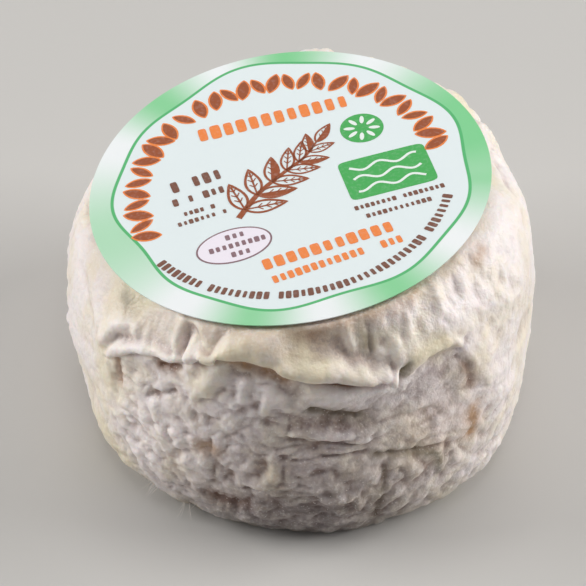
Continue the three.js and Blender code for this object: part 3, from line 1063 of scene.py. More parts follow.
    def patches(self, *patches: Patch) -> Array:
        """Gives the strongest of several patches at each point of the grid.

        Args:
            *patches: The patches.

        Returns:
            Strengths.
        """
        shares = []
        for patch in patches:
            x = self.apart(patch.bearing)[None, :] / patch.across
            y = (self.skins - patch.skin)[:, None] / patch.along
            shares.append(patch.strength * np.exp(-(x ** 2 + y ** 2) * self.patch_softness))
        return np.max(shares, axis=0)

    def softened(self, points: Array) -> Array:
        """Evens out the CAD solid's folds, most on the smooth flanks.

        Args:
            points: The grid on the CAD solid's surface.

        Returns:
            The grid with hollows and folds of limited depth.
        """
        even = self.smoothed(points, self.coarse_blur)
        outward = self.normals(even)
        kept = self.relief_kept - self.flank_evening * self.patches(*SMOOTH_FLANKS)
        kept *= 1 - self.patches(*EVENED)
        depth = ((points - even) * outward).sum(-1)
        limit = np.where(depth > 0, self.proudest_fold, self.deepest_hollow)
        limited = limit * np.tanh(depth * kept / limit)
        return points + outward * (limited - depth)[..., None]

    def relief(self) -> Array:
        """Works out the finer relief.

        Returns:
            How far it moves the skin outwards at each point of the grid, in millimetres.
        """
        turn = np.radians(self.bearings)[None, :]
        level = 0 * self.skins[:, None]
        place = np.stack(np.broadcast_arrays(np.cos(turn), np.sin(turn), level), -1) * self.reach
        place[..., 2] = self.skins[:, None]
        bend = Noise(self.seed)
        warp = np.stack([bend.at(place / self.warp_wave + shift) for shift in self.warp_shifts], -1)
        bent = place + warp * self.warp_depth
        total = np.zeros(place.shape[:2])
        rough = 1 - self.flank_smoothness * self.patches(*SMOOTH_FLANKS)
        rough *= 1 - self.cream_smoothness * self.patches(*CREAM_PLACES)
        for kind in WRINKLES:
            size = np.array([kind.around, kind.around, kind.along])
            share = kind.elsewhere + (1 - kind.elsewhere) * self.patches(*kind.places)
            total += kind.depth * share * (Noise(kind.seed).folds(bent / size) - 0.5) * rough
        total += self.patches(*SWELLS) - self.patches(*DENTS)
        for fold in FOLDS:
            share = self.distance_to(fold.path) / fold.width
            total += fold.rise * (0.5 + 0.5 * np.cos(np.pi * np.minimum(share, 1)))
            off_groove = (share - self.groove_place) * fold.width / self.groove_width
            total -= fold.groove * np.exp(-off_groove ** 2)
        return total

    def filled_rim(self, points: Array, label_edge: Array) -> Array:
        """Raises the skin at the front to just under the label's rim, where the soft paste bulges.

        Args:
            points: The grid.
            label_edge: Distance outside the label's edge at each point.

        Returns:
            The grid with the gap under the rim nearly closed.
        """
        flat = points[..., :2] + self.axis[:2] - self.label.middle
        gap = self.label.lay(flat, -self.label.thickness)[..., 2] - points[..., 2]
        front = 1 - ease(*self.rim_front, np.abs(self.apart(self.rim_bearing)))[None, :]
        near = (1 - ease(*self.rim_out, label_edge)) * ease(*self.rim_in, label_edge)
        near *= ease(*self.rim_top, self.skins)[:, None]
        raised = points.copy()
        raised[..., 2] += np.clip(gap - self.rim_gap, 0, self.most_raised) * near * front
        return raised

    def marks(self, points: Array, label_edge: Array) -> dict[RindMark, Array]:
        """Works out the marks that the rind's colours follow.

        Args:
            points: The finished grid.
            label_edge: Distance outside the label's edge at each point.

        Returns:
            A field from 0 to 1 for each mark.
        """
        normals = self.normals(points)
        fine, coarse = (
            ((points - self.smoothed(points, blur)) * normals).sum(-1)
            for blur in (self.fine_blur, self.coarse_blur)
        )
        hollow, crest = (
            np.clip(way * (coarse_weight * coarse + fine_weight * fine) / full, 0, 1)
            for way, (coarse_weight, fine_weight, full) in ((-1, self.hollow_depths), (1, self.crest_depths))
        )
        # Painted warm shadow just outside the label's rim, strongest at the front right: it adds ochre and
        # brown and takes away bloom.
        rim_shadow = (1 - ease(*self.rim_shadow_out, label_edge)) * ease(*self.rim_shadow_in, label_edge)
        warm_rim_shadow = rim_shadow * (0.3 + 0.7 * self.patches(RIM_SHADOW_PLACE))
        # Grey bloom with painted shade: more of it on the front wall and in the hollows, less on the crests.
        grey = self.patches(*GREY_BLOOM_AND_SHADE_PLACES) * (0.6 + 0.6 * hollow) + 0.3 * hollow - 0.3 * crest
        stains = {mark: np.zeros(hollow.shape) for mark in (RindMark.OCHRE, RindMark.BROWN, RindMark.OLIVE)}
        for stain in STAINS:
            share = self.distance_to(stain.path) / stain.width
            stains[stain.mark] = np.maximum(stains[stain.mark], stain.strength * np.exp(-share ** 2))
        # Ochre deepens in the hollows: partly the rind's own colour, partly painted shade.
        stains[RindMark.OCHRE] += self.patches(*TAN_PLACES) + 0.4 * warm_rim_shadow + 0.34 * hollow
        stains[RindMark.BROWN] += 0.1 * warm_rim_shadow
        return {
            RindMark.HOLLOW: hollow,
            RindMark.CREST: crest,
            # Cream fades in the hollows and shows more on the crests: partly painted shade and highlight.
            RindMark.CREAM: np.clip(self.patches(*CREAM_PLACES) + 0.12 * crest - 0.2 * hollow, 0, 1),
            # Bloom is whiter on the crests, partly a painted highlight, and thinner in the painted shadow
            # under the label's rim.
            RindMark.BLOOM: np.clip(0.85 + 0.15 * crest - 0.2 * rim_shadow, 0, 1),
            RindMark.GREY: np.clip(grey, 0, 0.95),
            # Painted shade at the foot of the front wall.
            RindMark.DUSK: np.clip(self.patches(*PAINTED_FOOT_SHADE_PLACES), 0, 1),
            **{mark: np.clip(stain, 0, 1) for mark, stain in stains.items()},
        }

    def build(self, material: Material) -> Piece:
        """Builds the piece.

        Args:
            material: The rind's material.

        Returns:
            The finished piece, which rides on the root body and stands for the CAD node.
        """
        rings = self.read_rings()
        skin_rings = len(rings) - self.plain_top_rings
        side_places = np.arange(self.sides) * rings.shape[1] / self.sides
        row_places = self.skins / self.skin_length * (skin_rings - 1)
        finer = self.resample(rings.swapaxes(0, 1), side_places, True).swapaxes(0, 1)
        points = self.softened(self.resample(finer[:skin_rings], row_places, False))

        middle = self.label.middle - self.axis[:2]
        label_edge = np.hypot(*(points[..., :2] - middle).transpose(2, 0, 1)) - self.label.radius
        points = self.filled_rim(points, label_edge)
        on_wall = 1 - ease(*self.free_top, self.skins)[:, None]
        free = np.maximum(ease(*self.free_out, label_edge), on_wall)
        free *= ease(*self.free_foot, self.skins)[:, None]
        points = points + self.normals(points) * (self.relief() * free)[..., None]
        points[..., 2] = np.maximum(points[..., 2], 0.0)
        points[0, :, 2] = 0.0

        rows = np.concatenate([points, finer[skin_rings:]]) + self.axis
        piece = closed_shell("cheese_rind", self.axis, rows, rings[-1].mean(0) + self.axis, material)
        for mark, values in self.marks(points, label_edge).items():
            attribute = piece.data.attributes.new(mark.value, "FLOAT", "POINT")
            padded = np.zeros(len(piece.data.vertices))
            padded[1:1 + values.size] = values.ravel()
            attribute.data.foreach_set("value", padded)
        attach(piece, "root")
        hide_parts("cheese")
        log.info("cheese: %d faces", len(piece.data.polygons))
        return piece


@dataclass
class MouldGrains:
    """Tiny clumps of white mould that stand on the rind in clusters, fewer on the creamy places and in the
    hollows.
    """

    per_square_metre: float = 600000.0
    least: float = 0.04
    most: float = 0.09
    flatness: float = 0.7
    cluster_wave: float = 4.0
    cluster_gain: float = 6.0
    cluster_floor: float = 3.2
    barest: float = 0.5
    clear_of_floor: float = 1.2
    seed: int = 3

    def build(self, rind: Piece, material: Material) -> Piece:
        """Scatters the grains over the rind.

        Args:
            rind: The finished rind.
            material: The mould's material.

        Returns:
            The finished piece.
        """
        growth = GrowthTree("Mould grains")
        add = growth.add
        count = growth.number("Grains per square metre", self.per_square_metre)
        least = growth.number("Least radius", self.least * MM)
        most = growth.number("Most radius", self.most * MM)
        seed = growth.number("Seed", self.seed)
        bare, hollow = (
            add("GeometryNodeInputNamedAttribute", {"Name": mark.value}, "Attribute", data_type="FLOAT")
            for mark in (RindMark.CREAM, RindMark.HOLLOW)
        )
        place = add("GeometryNodeInputPosition")
        cluster = add(Kind.NOISE, {"Vector": place, "Scale": per_metre(self.cluster_wave)})
        crowd = add(Kind.TIMES, (cluster, self.cluster_gain))
        thick = add(Kind.MINUS, (crowd, self.cluster_floor), use_clamp=True)
        wanted = add(Kind.MINUS, (self.barest, bare), use_clamp=True)
        wanted = add(Kind.MINUS, (wanted, hollow), use_clamp=True)
        height = add(Kind.SPLIT, (place,), "Z")
        limits = (height, self.clear_of_floor * MM)
        wanted = add(Kind.TIMES, (wanted, add("ShaderNodeMath", limits, operation="GREATER_THAN")))
        density = add(Kind.TIMES, (add(Kind.TIMES, (thick, wanted)), count))
        inputs = {"Mesh": growth.geometry, "Density": density, "Seed": seed}
        points, rotation = add("GeometryNodeDistributePointsOnFaces", inputs, "Points", "Rotation")
        ball = add("GeometryNodeMeshIcoSphere", {"Radius": 1.0, "Subdivisions": 1})
        size = add(Kind.RANDOM, {2: least, 3: most, "Seed": seed}, 1)
        scale = add(Kind.JOIN, (size, size, add(Kind.TIMES, (size, self.flatness))))
        grains = add("GeometryNodeInstanceOnPoints", {
            "Points": points, "Instance": ball, "Rotation": rotation, "Scale": scale,
        })
        source = new_object("grain source", rind.data.copy())
        piece = growth.grow(grains, material, source, "mould_grains")
        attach(piece, "root")
        log.info("mould grains: %d faces", len(piece.data.polygons))
        return piece


@dataclass
class MouldHairs:
    """A few tufts of thin mould threads that stick out low on the wall, most of them on its left.

    Attributes:
        tufts: Bearing, skin height, number of threads and length of each tuft.
        scatter: How far the threads of a tuft stand apart, in degrees of bearing and in skin height.
        lean, sag, bend: How much the threads turn at random, hang, and curve with both.
    """

    tufts: Sequence[tuple[float, float, int, float]] = (
        (231.0, 5.0, 9, 2.2), (229.0, 6.5, 6, 1.5), (241.5, 3.8, 7, 3.0), (216.0, 14.0, 4, 1.2),
        (318.0, 9.0, 4, 1.0), (70.0, 9.0, 6, 2.0), (135.0, 6.0, 7, 2.2), (20.0, 8.0, 5, 1.6),
    )
    thickness: float = 0.05
    root_depth: float = 0.1
    scatter: Span = (0.9, 0.4)
    lean: float = 0.35
    sag: float = 0.25
    bend: float = 0.6
    tube_sides: int = 5
    root_width: float = 1.05
    steps: int = 6
    seed: int = 8

    def build(self, cheese: Cheese, rind: Piece, material: Material) -> Piece:
        """Grows the threads out of the finished rind.

        Args:
            cheese: The sizes of the cheese, for its grid of bearings and skin heights.
            rind: The finished rind, which the threads stand on.
            material: The mould's material.

        Returns:
            The finished piece.
        """
        random = np.random.default_rng(self.seed)
        curves = bpy.data.curves.new("mould threads", "CURVE")
        curves.dimensions = "3D"
        for bearing, skin, count, length in self.tufts:
            for _ in range(count):
                row = int(np.argmin(np.abs(cheese.skins - skin - random.normal() * self.scatter[1])))
                turned = bearing + random.normal() * self.scatter[0]
                side = int(round(turned / 360 * cheese.sides)) % cheese.sides
                vertex = rind.data.vertices[1 + row * cheese.sides + side]
                lean = Vector(random.normal(size=3) * self.lean + (0, 0, -self.sag))
                reach = length * random.uniform(0.5, 1.0) * MM
                spline = curves.splines.new("POLY")
                spline.points.add(self.steps - 1)
                for step, point in enumerate(spline.points):
                    t = step / (self.steps - 1)
                    place = vertex.co + vertex.normal * (reach * t - self.root_depth * MM)
                    place += lean * (reach * self.bend * t * t)
                    place.z = max(place.z, self.root_depth * MM)
                    point.co = (*place, 1.0)

        growth = GrowthTree("Mould threads")
        add = growth.add
        thickness = growth.number("Thread radius", self.thickness * MM)
        taper = add(Kind.MINUS, (self.root_width, add("GeometryNodeSplineParameter", (), "Factor")))
        shaped = add("GeometryNodeSetCurveRadius", {"Curve": growth.geometry, "Radius": taper})
        inputs = {"Resolution": self.tube_sides, "Radius": thickness}
        outline = add("GeometryNodeCurvePrimitiveCircle", inputs)
        tube = add("GeometryNodeCurveToMesh", {
            "Curve": shaped, "Profile Curve": outline, "Fill Caps": True, "Scale": taper,
        })
        piece = growth.grow(tube, material, new_object("thread source", curves), "mould_threads")
        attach(piece, "root")
        log.info("mould threads: %d faces", len(piece.data.polygons))
        return piece


class Ink(Enum):
    """The printing inks of the label and their colours."""

    BROWN = "#9C5638"
    DARK_BROWN = "#7E5648"
    ORANGE = "#F08A4A"
    GREEN = "#4FAE5E"
    PALE = "#EAF3EE"
    LILAC = "#F1EAF4"
    MAUVE = "#8C6F76"


class Layer(Enum):
    """How high the ink lies over the paper, in millimetres, so that what is printed later covers more."""

    UNDER = 0.02
    MIDDLE = 0.035
    OVER = 0.05


class MarkShape(Enum):
    """The shape of each mark of a row: how far its ends are drawn to a point, and its lean in degrees."""

    BLOCK = (0.0, 0.0)
    LEAF = (0.6, 20.0)


@dataclass(frozen=True)
class MarkRow:
    """A row of small upright marks that stands where a label has a line of words.

    Attributes:
        edging: How much every mark is larger than its share, for a rim of another ink round it.
        kept: The share of the marks that is printed; the rest are gaps.
        widths, heights: Least and most width in pitches, and height in heights of the row.
    """

    path: Pairs
    height: float
    pitch: float
    ink: Ink
    seed: int
    layer: Layer = Layer.MIDDLE
    edging: float = 0.0
    shape: MarkShape = MarkShape.BLOCK
    kept: float = 0.92
    widths: Span = (0.5, 0.82)
    heights: Span = (0.8, 1.0)


@dataclass
class Label:
    """The round paper label: a thin sheet that follows the CAD solid's bend, with printed shapes on it.

    Attributes:
        node: The CAD node that it stands for.
        crease_angle: The angle in degrees past which an edge is sharp.
    """

    node: Piece
    thickness: float = 0.14
    sides: int = 180
    rings: int = 30
    print_tilt: float = 15.0
    crease_angle: float = 40.0

    def __post_init__(self) -> None:
        """Measures the CAD solid: its middle, its radius and its bend."""
        points = solid_points(self.node)
        low, high = points.min(0), points.max(0)
        self.middle = (low[:2] + high[:2]) / 2
        self.radius = float(high[0] - low[0]) / 2
        x, y = (points[:, :2] - self.middle).T
        self.bend = np.linalg.lstsq(self.terms(x, y), points[:, 2], rcond=None)[0]

    @staticmethod
    def terms(x: Array, y: Array) -> Array:
        """Gives the terms of a bent sheet's height at places on it."""
        return np.stack([np.ones_like(x), x, y, x * x, x * y, y * y], -1)

    def lay(self, flat: Array, lift: float) -> Array:
        """Lays flat places on the sheet's upper face.

        Args:
            flat: Places across and up the label, from its middle.
            lift: How far above the upper face.

        Returns:
            Places in space.
        """
        x, y = flat[..., 0], flat[..., 1]
        height = self.terms(x, y) @ self.bend + self.thickness / 2 + lift
        return np.stack([x + self.middle[0], y + self.middle[1], height], -1)

    def build_sheet(self, material: Material) -> Piece:
        """Builds the paper.

        Args:
            material: The paper's material.

        Returns:
            The finished piece, which stands for the CAD node.
        """
        turn = np.arange(self.sides) * math.tau / self.sides
        circle = np.stack([np.cos(turn), np.sin(turn)], -1)
        disc = np.linspace(0, self.radius, self.rings + 1)[1:, None, None] * circle[None]
        rows = np.concatenate([self.lay(disc, -self.thickness), self.lay(disc[::-1], 0.0)])
        low, high = (self.lay(np.zeros(2), lift) for lift in (-self.thickness, 0.0))
        piece = closed_shell("label_sheet", low, rows, high, material)
        points = np.concatenate([low[None], rows.reshape(-1, 3), high[None]])
        flat = (points[:, :2] - self.middle) / (2 * self.radius) + 0.5
        layer = piece.data.uv_layers.new(name="print")
        layer.data.foreach_set("uv", flat[corner_vertices(piece.data)].ravel())
        piece.data.set_sharp_from_angle(angle=math.radians(self.crease_angle))
        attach(piece, "root")
        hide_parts("paper_label")
        log.info("label sheet: %d faces", len(piece.data.polygons))
        return piece


class Print:
    """Collects flat shapes of ink and lays them on the label, one piece for each ink."""

    OUTLINE_POINTS = 64

    def __init__(self, label: Label) -> None:
        """Starts with a clean label.

        Args:
            label: The label that carries the print.
        """
        self.label = label
        self.points: dict[Ink, list[Array]] = {ink: [] for ink in Ink}
        self.faces: dict[Ink, list[list[int]]] = {ink: [] for ink in Ink}

    def put(self, ink: Ink, layer: Layer, flat: Array, faces: Sequence[Sequence[int]]) -> None:
        """Adds a flat shape.

        Args:
            ink: Its ink.
            layer: How high it lies.
            flat: Its points across and up the label.
            faces: Its faces.
        """
        start = sum(map(len, self.points[ink]))
        self.points[ink].append(self.label.lay(np.asarray(flat, float), layer.value))
        self.faces[ink].extend([int(i) + start for i in face] for face in faces)

    def ribbon(self, path: Array, widths: Array | float, ink: Ink = Ink.BROWN, closed: bool = False) -> None:
        """Adds a line of ink along a path.

        Args:
            path: Points along the middle of the line.
            widths: Full width of the line, one or one for each point.
            ink: Its ink.
            closed: Whether the line comes back to its start.
        """
        ahead = np.roll(path, -1, 0) - np.roll(path, 1, 0) if closed else np.gradient(path, axis=0)
        ahead /= np.linalg.norm(ahead, axis=1, keepdims=True)
        aside = np.stack([-ahead[:, 1], ahead[:, 0]], -1) * (np.broadcast_to(widths, len(path)) / 2)[:, None]
        count = len(path)
        stretches = ((i, (i + 1) % count) for i in range(count if closed else count - 1))
        faces = [[i, i + count, after + count, after] for i, after in stretches]
        self.put(ink, Layer.MIDDLE, np.concatenate([path + aside, path - aside]), faces)

    def field(
        self, ink: Ink, layer: Layer, middle: Sequence[float], half_size: Span,
        tilt: float, squareness: float = 2.0, steps: int = 14,
    ) -> None:
        """Adds a filled oval, or a panel with rounded corners.

        Args:
            ink: Its ink.
            layer: How high it lies.
            middle: Its middle.
            half_size: Half its width and half its height.
            tilt: Its turn in degrees.
            squareness: 2 for an oval, more for a panel.
            steps: How many rings it has.
        """
        sides = self.OUTLINE_POINTS
        turn = np.arange(sides) * math.tau / sides
        round_line = np.stack([np.cos(turn), np.sin(turn)], -1)
        outline = np.sign(round_line) * np.abs(round_line) ** (2 / squareness) * half_size
        rings = np.linspace(0, 1, steps)[1:, None, None] * outline[None]
        flat = np.concatenate([np.zeros((1, 2)), rings.reshape(-1, 2)])
        number = np.arange(len(rings) * sides).reshape(len(rings), sides) + 1
        after = np.roll(number, -1, 1)
        faces = [*np.stack([np.zeros(sides, int), number[0], after[0]], -1)]
        faces += [*np.stack([number[:-1], number[1:], after[1:], after[:-1]], -1).reshape(-1, 4)]
        self.put(ink, layer, self.turned(flat, tilt) + middle, faces)

    @staticmethod
    def turned(flat: Array, degrees: float) -> Array:
        """Turns flat points round the middle."""
        c, s = math.cos(math.radians(degrees)), math.sin(math.radians(degrees))
        return flat @ np.array([[c, s], [-s, c]])

    def row(self, row: MarkRow) -> None:
        """Adds a row of marks with Geometry Nodes, which set them out along the row's path.

        Args:
            row: The row.
        """
        curve = bpy.data.curves.new("row path", "CURVE")
        spline = curve.splines.new("POLY")
        spline.points.add(len(row.path) - 1)
        for point, (x, y) in zip(spline.points, row.path):
            point.co = (x, y, 0.0, 1.0)

        growth = GrowthTree("Row of marks")
        add = growth.add
        pitch, height = growth.number("Pitch", row.pitch), growth.number("Height", row.height)
        edging, seed = growth.number("Edging", row.edging), growth.number("Seed", row.seed)
        places = add("GeometryNodeResampleCurve", {"Curve": growth.geometry, "Length": pitch}, mode="LENGTH")
        points, tangent = add("GeometryNodeCurveToPoints", (places,), "Points", "Tangent", mode="EVALUATED")
        disc = add("GeometryNodeMeshCircle", {"Vertices": 20, "Radius": 0.5}, fill_type="NGON")
        point, lean = row.shape.value
        mark = add("GeometryNodeSetPosition", {"Geometry": disc, "Position": self.drawn(add, point)})
        spans = []
        # The heights share one ID, so the marks of a row are equally tall.
        for full, (least, most), fixed in ((pitch, row.widths, {}), (height, row.heights, {"ID": 7})):
            share = add(Kind.RANDOM, {2: least, 3: most, "Seed": seed, **fixed}, 1)
            spans.append(add(Kind.PLUS, (add(Kind.TIMES, (full, share)), edging)))
        kept = add(Kind.RANDOM, {"Probability": row.kept, "Seed": seed}, 3, data_type="BOOLEAN")
        parity = add("ShaderNodeMath", (add("GeometryNodeInputIndex"), 2.0), operation="MODULO")
        turn = add(Kind.TIMES, (add(Kind.MINUS, (parity, 0.5)), 2 * math.radians(lean)))
        ahead = add("ShaderNodeVectorRotate", {"Vector": tangent, "Angle": turn}, rotation_type="Z_AXIS")
        marks = add("GeometryNodeInstanceOnPoints", {
            "Points": points, "Selection": kept, "Instance": mark, "Scale": add(Kind.JOIN, (*spans, 1.0)),
            "Rotation": add("FunctionNodeAlignRotationToVector", {"Vector": ahead}, axis="X"),
        })
        made = growth.grow(marks, bpy.data.materials[0], new_object("row source", curve), "row marks")
        flat = np.array([vertex.co[:2] for vertex in made.data.vertices])
        self.put(row.ink, row.layer, flat, [list(face.vertices) for face in made.data.polygons])
        bpy.data.objects.remove(made)

    @staticmethod
    def drawn(add: AddNode, point: float) -> Socket:
        """Turns a disc's outline into a leaf's, or into a block's with rounded corners.

        Args:
            add: The function that adds a node to the tree of the marks.
            point: 0 for a block; more draws the ends to a point.

        Returns:
            The new place of each point of the outline.
        """
        x, y = add(Kind.SPLIT, (add("GeometryNodeInputPosition"),), "X", "Y")
        if point:
            doubled = add(Kind.TIMES, (x, 2.0))
            share = add("ShaderNodeMath", (add("ShaderNodeMath", (doubled,), operation="ABSOLUTE"), point),
                        operation="POWER")
            return add(Kind.JOIN, {"X": add(Kind.TIMES, (x, share)), "Y": y})
        sides = []
        for side in (x, y):
            sign, size = (add("ShaderNodeMath", (side,), operation=name) for name in ("SIGN", "ABSOLUTE"))
            share = add("ShaderNodeMath", (add(Kind.TIMES, (size, 2.0)), 0.4), operation="POWER")
            sides.append(add(Kind.TIMES, (sign, add(Kind.TIMES, (share, 0.5)))))
        return add(Kind.JOIN, sides)

    def finish(self) -> None:
        """Makes one piece of each ink."""
        for ink in Ink:
            name = ink.name.lower()
            material = PrintingInk(f"{name.replace('_', ' ').capitalize()} printing ink", ink.value).build()
            piece = mesh_object(f"print_{name}", np.concatenate(self.points[ink]), self.faces[ink], material)
            shape = bmesh.new()
            shape.from_mesh(piece.data)
            for face in shape.faces:
                face.normal_update()
                if face.normal.z < 0:
                    face.normal_flip()
            shape.to_mesh(piece.data)
            shape.free()
            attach(piece, "root")
            log.info("print in %s: %d faces", name, len(piece.data.polygons))


def arc(radius: float, start: float, end: float, steps: int = 60) -> Pairs:
    """Gives points along an arc round the label's middle, between two angles in degrees."""
    angles = np.radians(np.linspace(start, end, steps))
    return tuple((radius * math.cos(a), radius * math.sin(a)) for a in angles)


@dataclass(frozen=True)
class Sprig:
    """A leafy sprig in brown line, the label's plain decoration."""

    stem: Pairs = ((-7.5, -7.0), (-4.6, -2.0), (-1.0, 2.0), (2.2, 5.2), (4.0, 8.4))
    stem_points: int = 60
    leaf_length: float = 6.3
    leaf_width: float = 2.5
    leaf_points: int = 16
    pairs: int = 6
    first_pair: int = 6
    pair_span: int = 52
    leaf_spread: float = 52.0
    spread_step: float = 3.0
    shrink: float = 0.07
    tip_size: float = 0.7
    line: float = 0.42

    def draw(self, sheet: Print) -> None:
        """Draws the sprig.

        Args:
            sheet: The print that takes the ink.
        """
        knots = np.array(self.stem)
        places = np.linspace(0, len(knots) - 1, self.stem_points)
        stem = Cheese.resample(knots, places, False)
        sheet.ribbon(stem, np.linspace(1.0, 0.3, self.stem_points))
        for index in range(self.pairs):
            at = self.first_pair + index * self.pair_span // self.pairs
            ahead = stem[min(at + 1, self.stem_points - 1)] - stem[at - 1]
            lean = math.degrees(math.atan2(ahead[1], ahead[0]))
            for side in (-1, 1):
                turn = lean + side * (self.leaf_spread - self.spread_step * index)
                self.leaf(sheet, stem[at], turn, 1 - self.shrink * index, (index + side) % 3 == 0)
        tip = stem[-1] - stem[-3]
        self.leaf(sheet, stem[-1], math.degrees(math.atan2(tip[1], tip[0])), self.tip_size, True)

    def leaf(self, sheet: Print, root: Array, turn: float, size: float, filled: bool) -> None:
        """Draws one leaf: its outline and its ribs, or a filled half.

        Args:
            sheet: The print that takes the ink.
            root: Where the leaf joins the stem.
            turn: Which way it points, in degrees.
            size: Its size beside a full leaf.
            filled: Whether one half of it is filled.
        """
        count = self.leaf_points
        t = np.linspace(0, 1, count)
        x = t * self.leaf_length * size
        y = np.sin(np.pi * t ** 0.8) * self.leaf_width / 2 * size
        upper, lower = np.stack([x, y], -1), np.stack([x, -y], -1)
        rib = np.stack([x * 0.9, 0 * x], -1)
        outline = np.concatenate([upper, lower[-2:0:-1]])
        sheet.ribbon(Print.turned(outline, turn) + root, self.line * size, closed=True)
        sheet.ribbon(Print.turned(rib, turn) + root, self.line * 0.7 * size)
        if filled:
            flat = Print.turned(np.concatenate([rib, lower]), turn) + root
            faces = [[i, i + count, i + count + 1, i + 1] for i in range(count - 1)]
            sheet.put(Ink.BROWN, Layer.UNDER, flat, faces)
        for share, side in product((0.3, 0.5, 0.7), (-1, 1)):
            start = np.array([x[-1] * share, 0.0])
            vein = np.stack([start, start + (x[-1] * 0.12, side * self.leaf_width * 0.26 * size)])
            sheet.ribbon(Print.turned(vein, turn) + root, self.line * 0.45 * size)


TITLE_ARCS = ((203, 149), (143, 127), (120, 79), (71, 16))
MARK_ROWS = (
    MarkRow(((-13.2, 12.2), (8.0, 17.2)), 3.1, 1.95, Ink.ORANGE, 5),
    MarkRow(((-17.2, 1.0), (-10.9, 3.0)), 2.6, 1.5, Ink.DARK_BROWN, 6),
    MarkRow(((-17.0, -2.4), (-10.2, -0.4)), 1.7, 1.15, Ink.DARK_BROWN, 7),
    MarkRow(((-15.4, -5.0), (-11.4, -3.9)), 1.0, 0.8, Ink.DARK_BROWN, 8),
    MarkRow(((-16.2, -7.2), (-9.6, -5.2)), 1.0, 0.8, Ink.DARK_BROWN, 9),
    MarkRow(((-3.2, -17.3), (14.4, -11.6)), 2.5, 1.85, Ink.ORANGE, 10),
    MarkRow(((-2.0, -20.6), (16.0, -14.3)), 1.7, 1.15, Ink.ORANGE, 11),
    MarkRow(((9.9, -7.0), (22.6, -3.4)), 1.0, 0.8, Ink.DARK_BROWN, 12),
    MarkRow(((11.6, -8.8), (20.6, -6.2)), 1.0, 0.8, Ink.DARK_BROWN, 13),
    MarkRow(arc(24.0, 219, 346, 80), 1.6, 1.05, Ink.DARK_BROWN, 14),
)


def print_label(label: Label) -> None:
    """Prints the label: rows of marks for its words, a sprig, a green panel and badge, and an oval.

    Args:
        label: The label.
    """
    sheet = Print(label)
    for start, end in TITLE_ARCS:
        title = arc(22.9, start, end)
        for ink, edging, layer in ((Ink.ORANGE, 0.6, Layer.UNDER), (Ink.BROWN, 0.0, Layer.MIDDLE)):
            sheet.row(MarkRow(title, 4.3, 2.3, ink, 4, layer, edging, MarkShape.LEAF, 1.0))
    for row in MARK_ROWS:
        sheet.row(row)
    Sprig().draw(sheet)

    tilt = label.print_tilt
    oval = np.array((-8.1, -12.7))
    sheet.field(Ink.MAUVE, Layer.UNDER, oval, (5.7, 3.6), tilt)
    sheet.field(Ink.LILAC, Layer.MIDDLE, oval, (5.42, 3.32), tilt)
    for offset, half in ((1.9, 1.6), (0.0, 4.4), (-1.9, 1.6)):
        ends = Print.turned(np.array([[-half, offset], [half, offset]]), tilt) + oval
        sheet.row(MarkRow(ends, 1.2, 0.95, Ink.MAUVE, 15, Layer.OVER))

    panel = np.array((14.6, 0.55))
    sheet.field(Ink.GREEN, Layer.UNDER, panel, (6.7, 4.4), tilt, squareness=12.0)
    for offset in (-2.3, 0.0, 2.3):
        x = np.linspace(-5.2, 5.2, 40)
        wave = np.stack([x, offset + 0.55 * np.sin(x * 1.2 + offset)], -1)
        sheet.ribbon(Print.turned(wave, tilt) + panel, 0.45, Ink.PALE)
    badge = np.array((10.9, 10.8))
    sheet.field(Ink.GREEN, Layer.UNDER, badge, (3.3, 3.3), 0.0)
    for angle in range(0, 360, 45):
        spot = Print.turned(np.array((1.9, 0.0)), angle) + badge
        sheet.field(Ink.PALE, Layer.MIDDLE, spot, (0.85, 0.34), angle, steps=4)
    sheet.finish()


@dataclass(frozen=True)
class SoftLight:
    """A square soft light: its place and side in metres, and its power in watts."""

    name: str
    place: tuple[float, float, float]
    size: float
    power: float
    colour: str = "#FFFEFC"

    def hang(self, target: Vector) -> None:
        """Hangs the light.

        Args:
            target: The place that it is turned to.
        """
        data = bpy.data.lights.new(self.name, "AREA")
        data.size, data.energy, data.color = self.size, self.power, linear(self.colour)[:3]
        lamp = new_object(self.name, data)
        lamp.location = self.place
        lamp.rotation_euler = (target - lamp.location).to_track_quat("-Z", "Y").to_euler()


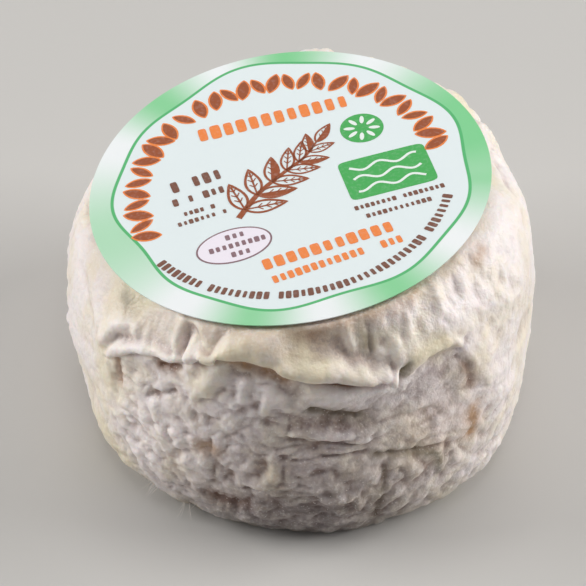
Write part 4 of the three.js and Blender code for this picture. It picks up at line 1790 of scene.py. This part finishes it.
@dataclass
class Studio:
    """A plain pale floor, soft lights and a camera at the photograph's viewing angle.

    Attributes:
        axis: Place of the cheese's middle line in millimetres.
    """

    axis: Array
    camera_height_angle: float = 41.4
    camera_distance: float = 0.5
    aim_height: float = 22.5
    light_height: float = 25.0
    pixels_per_mm: float = 6.51
    aim_pixel: Span = (298.28, 268.98)
    floor_half: float = 3.0
    sensor: float = 36.0
    sky_colour: str = "#F2F2F5"
    sky_strength: float = 0.16
    lamps: Sequence[SoftLight] = (
        SoftLight("Left light", (-1.09, 0.128, 0.513), 0.72, 10.75),
        SoftLight("Right light", (1.07, 0.096, 0.513), 0.72, 11.5),
        SoftLight("Top light", (0.03, 0.04, 0.72), 0.5, 1.8),
    )

    def place_camera(self) -> None:
        """Places the camera."""
        data = bpy.data.cameras.new("Camera")
        data.sensor_width = self.sensor
        data.sensor_fit = "HORIZONTAL"
        data.lens = self.pixels_per_mm * self.camera_distance / MM * self.sensor / FRAME_PIXELS
        data.shift_x = -(self.aim_pixel[0] - FRAME_PIXELS / 2) / FRAME_PIXELS
        data.shift_y = (self.aim_pixel[1] - FRAME_PIXELS / 2) / FRAME_PIXELS
        data.clip_start, data.clip_end = 0.01, 10.0
        tilt = math.radians(self.camera_height_angle)
        ahead = Vector((0.0, math.cos(tilt), -math.sin(tilt)))
        camera = new_object("Camera", data)
        camera.location = self.over_axis(self.aim_height) - ahead * self.camera_distance
        camera.rotation_euler = (math.pi / 2 - tilt, 0.0, 0.0)
        bpy.context.scene.camera = camera

    def over_axis(self, height: float) -> Vector:
        """Gives the place in metres at a height in millimetres on the cheese's middle line."""
        return Vector((self.axis[0] * MM, self.axis[1] * MM, height * MM))

    def lay_floor(self) -> None:
        """Lays the floor."""
        corners = np.array([(-1, -1, 0), (1, -1, 0), (1, 1, 0), (-1, 1, 0)]) * (self.floor_half / MM)
        floor = mesh_object("studio_floor", corners, [(0, 1, 2, 3)], PaleFloor().build())

    def light(self) -> None:
        """Hangs the lights and sets the soft light all round."""
        for lamp in self.lamps:
            lamp.hang(self.over_axis(self.light_height))
        world = bpy.data.worlds.new("Studio")
        world.use_nodes = True
        world.node_tree.nodes.clear()
        inputs = {"Color": self.sky_colour, "Strength": self.sky_strength}
        sky = add_node(world.node_tree, "ShaderNodeBackground", inputs)
        add_node(world.node_tree, "ShaderNodeOutputWorld", {"Surface": sky})
        bpy.context.scene.world = world
        bpy.context.scene.view_settings.view_transform = "Standard"


def main() -> None:
    """Builds the cheese, its label and the studio, in that order."""
    logging.basicConfig(level=logging.INFO, format="%(name)s: %(message)s")
    label = Label(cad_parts["paper_label"])
    cheese = Cheese(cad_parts["cheese"], label)
    rind = cheese.build(BloomyRind().build())
    mould = WhiteMould().build()
    MouldGrains().build(rind, mould)
    MouldHairs().build(cheese, rind, mould)
    label.build_sheet(CoatedPaper(radius=label.radius).build())
    print_label(label)
    studio = Studio(cheese.axis)
    studio.place_camera()
    studio.lay_floor()
    studio.light()


if __name__ == "__main__":
    main()
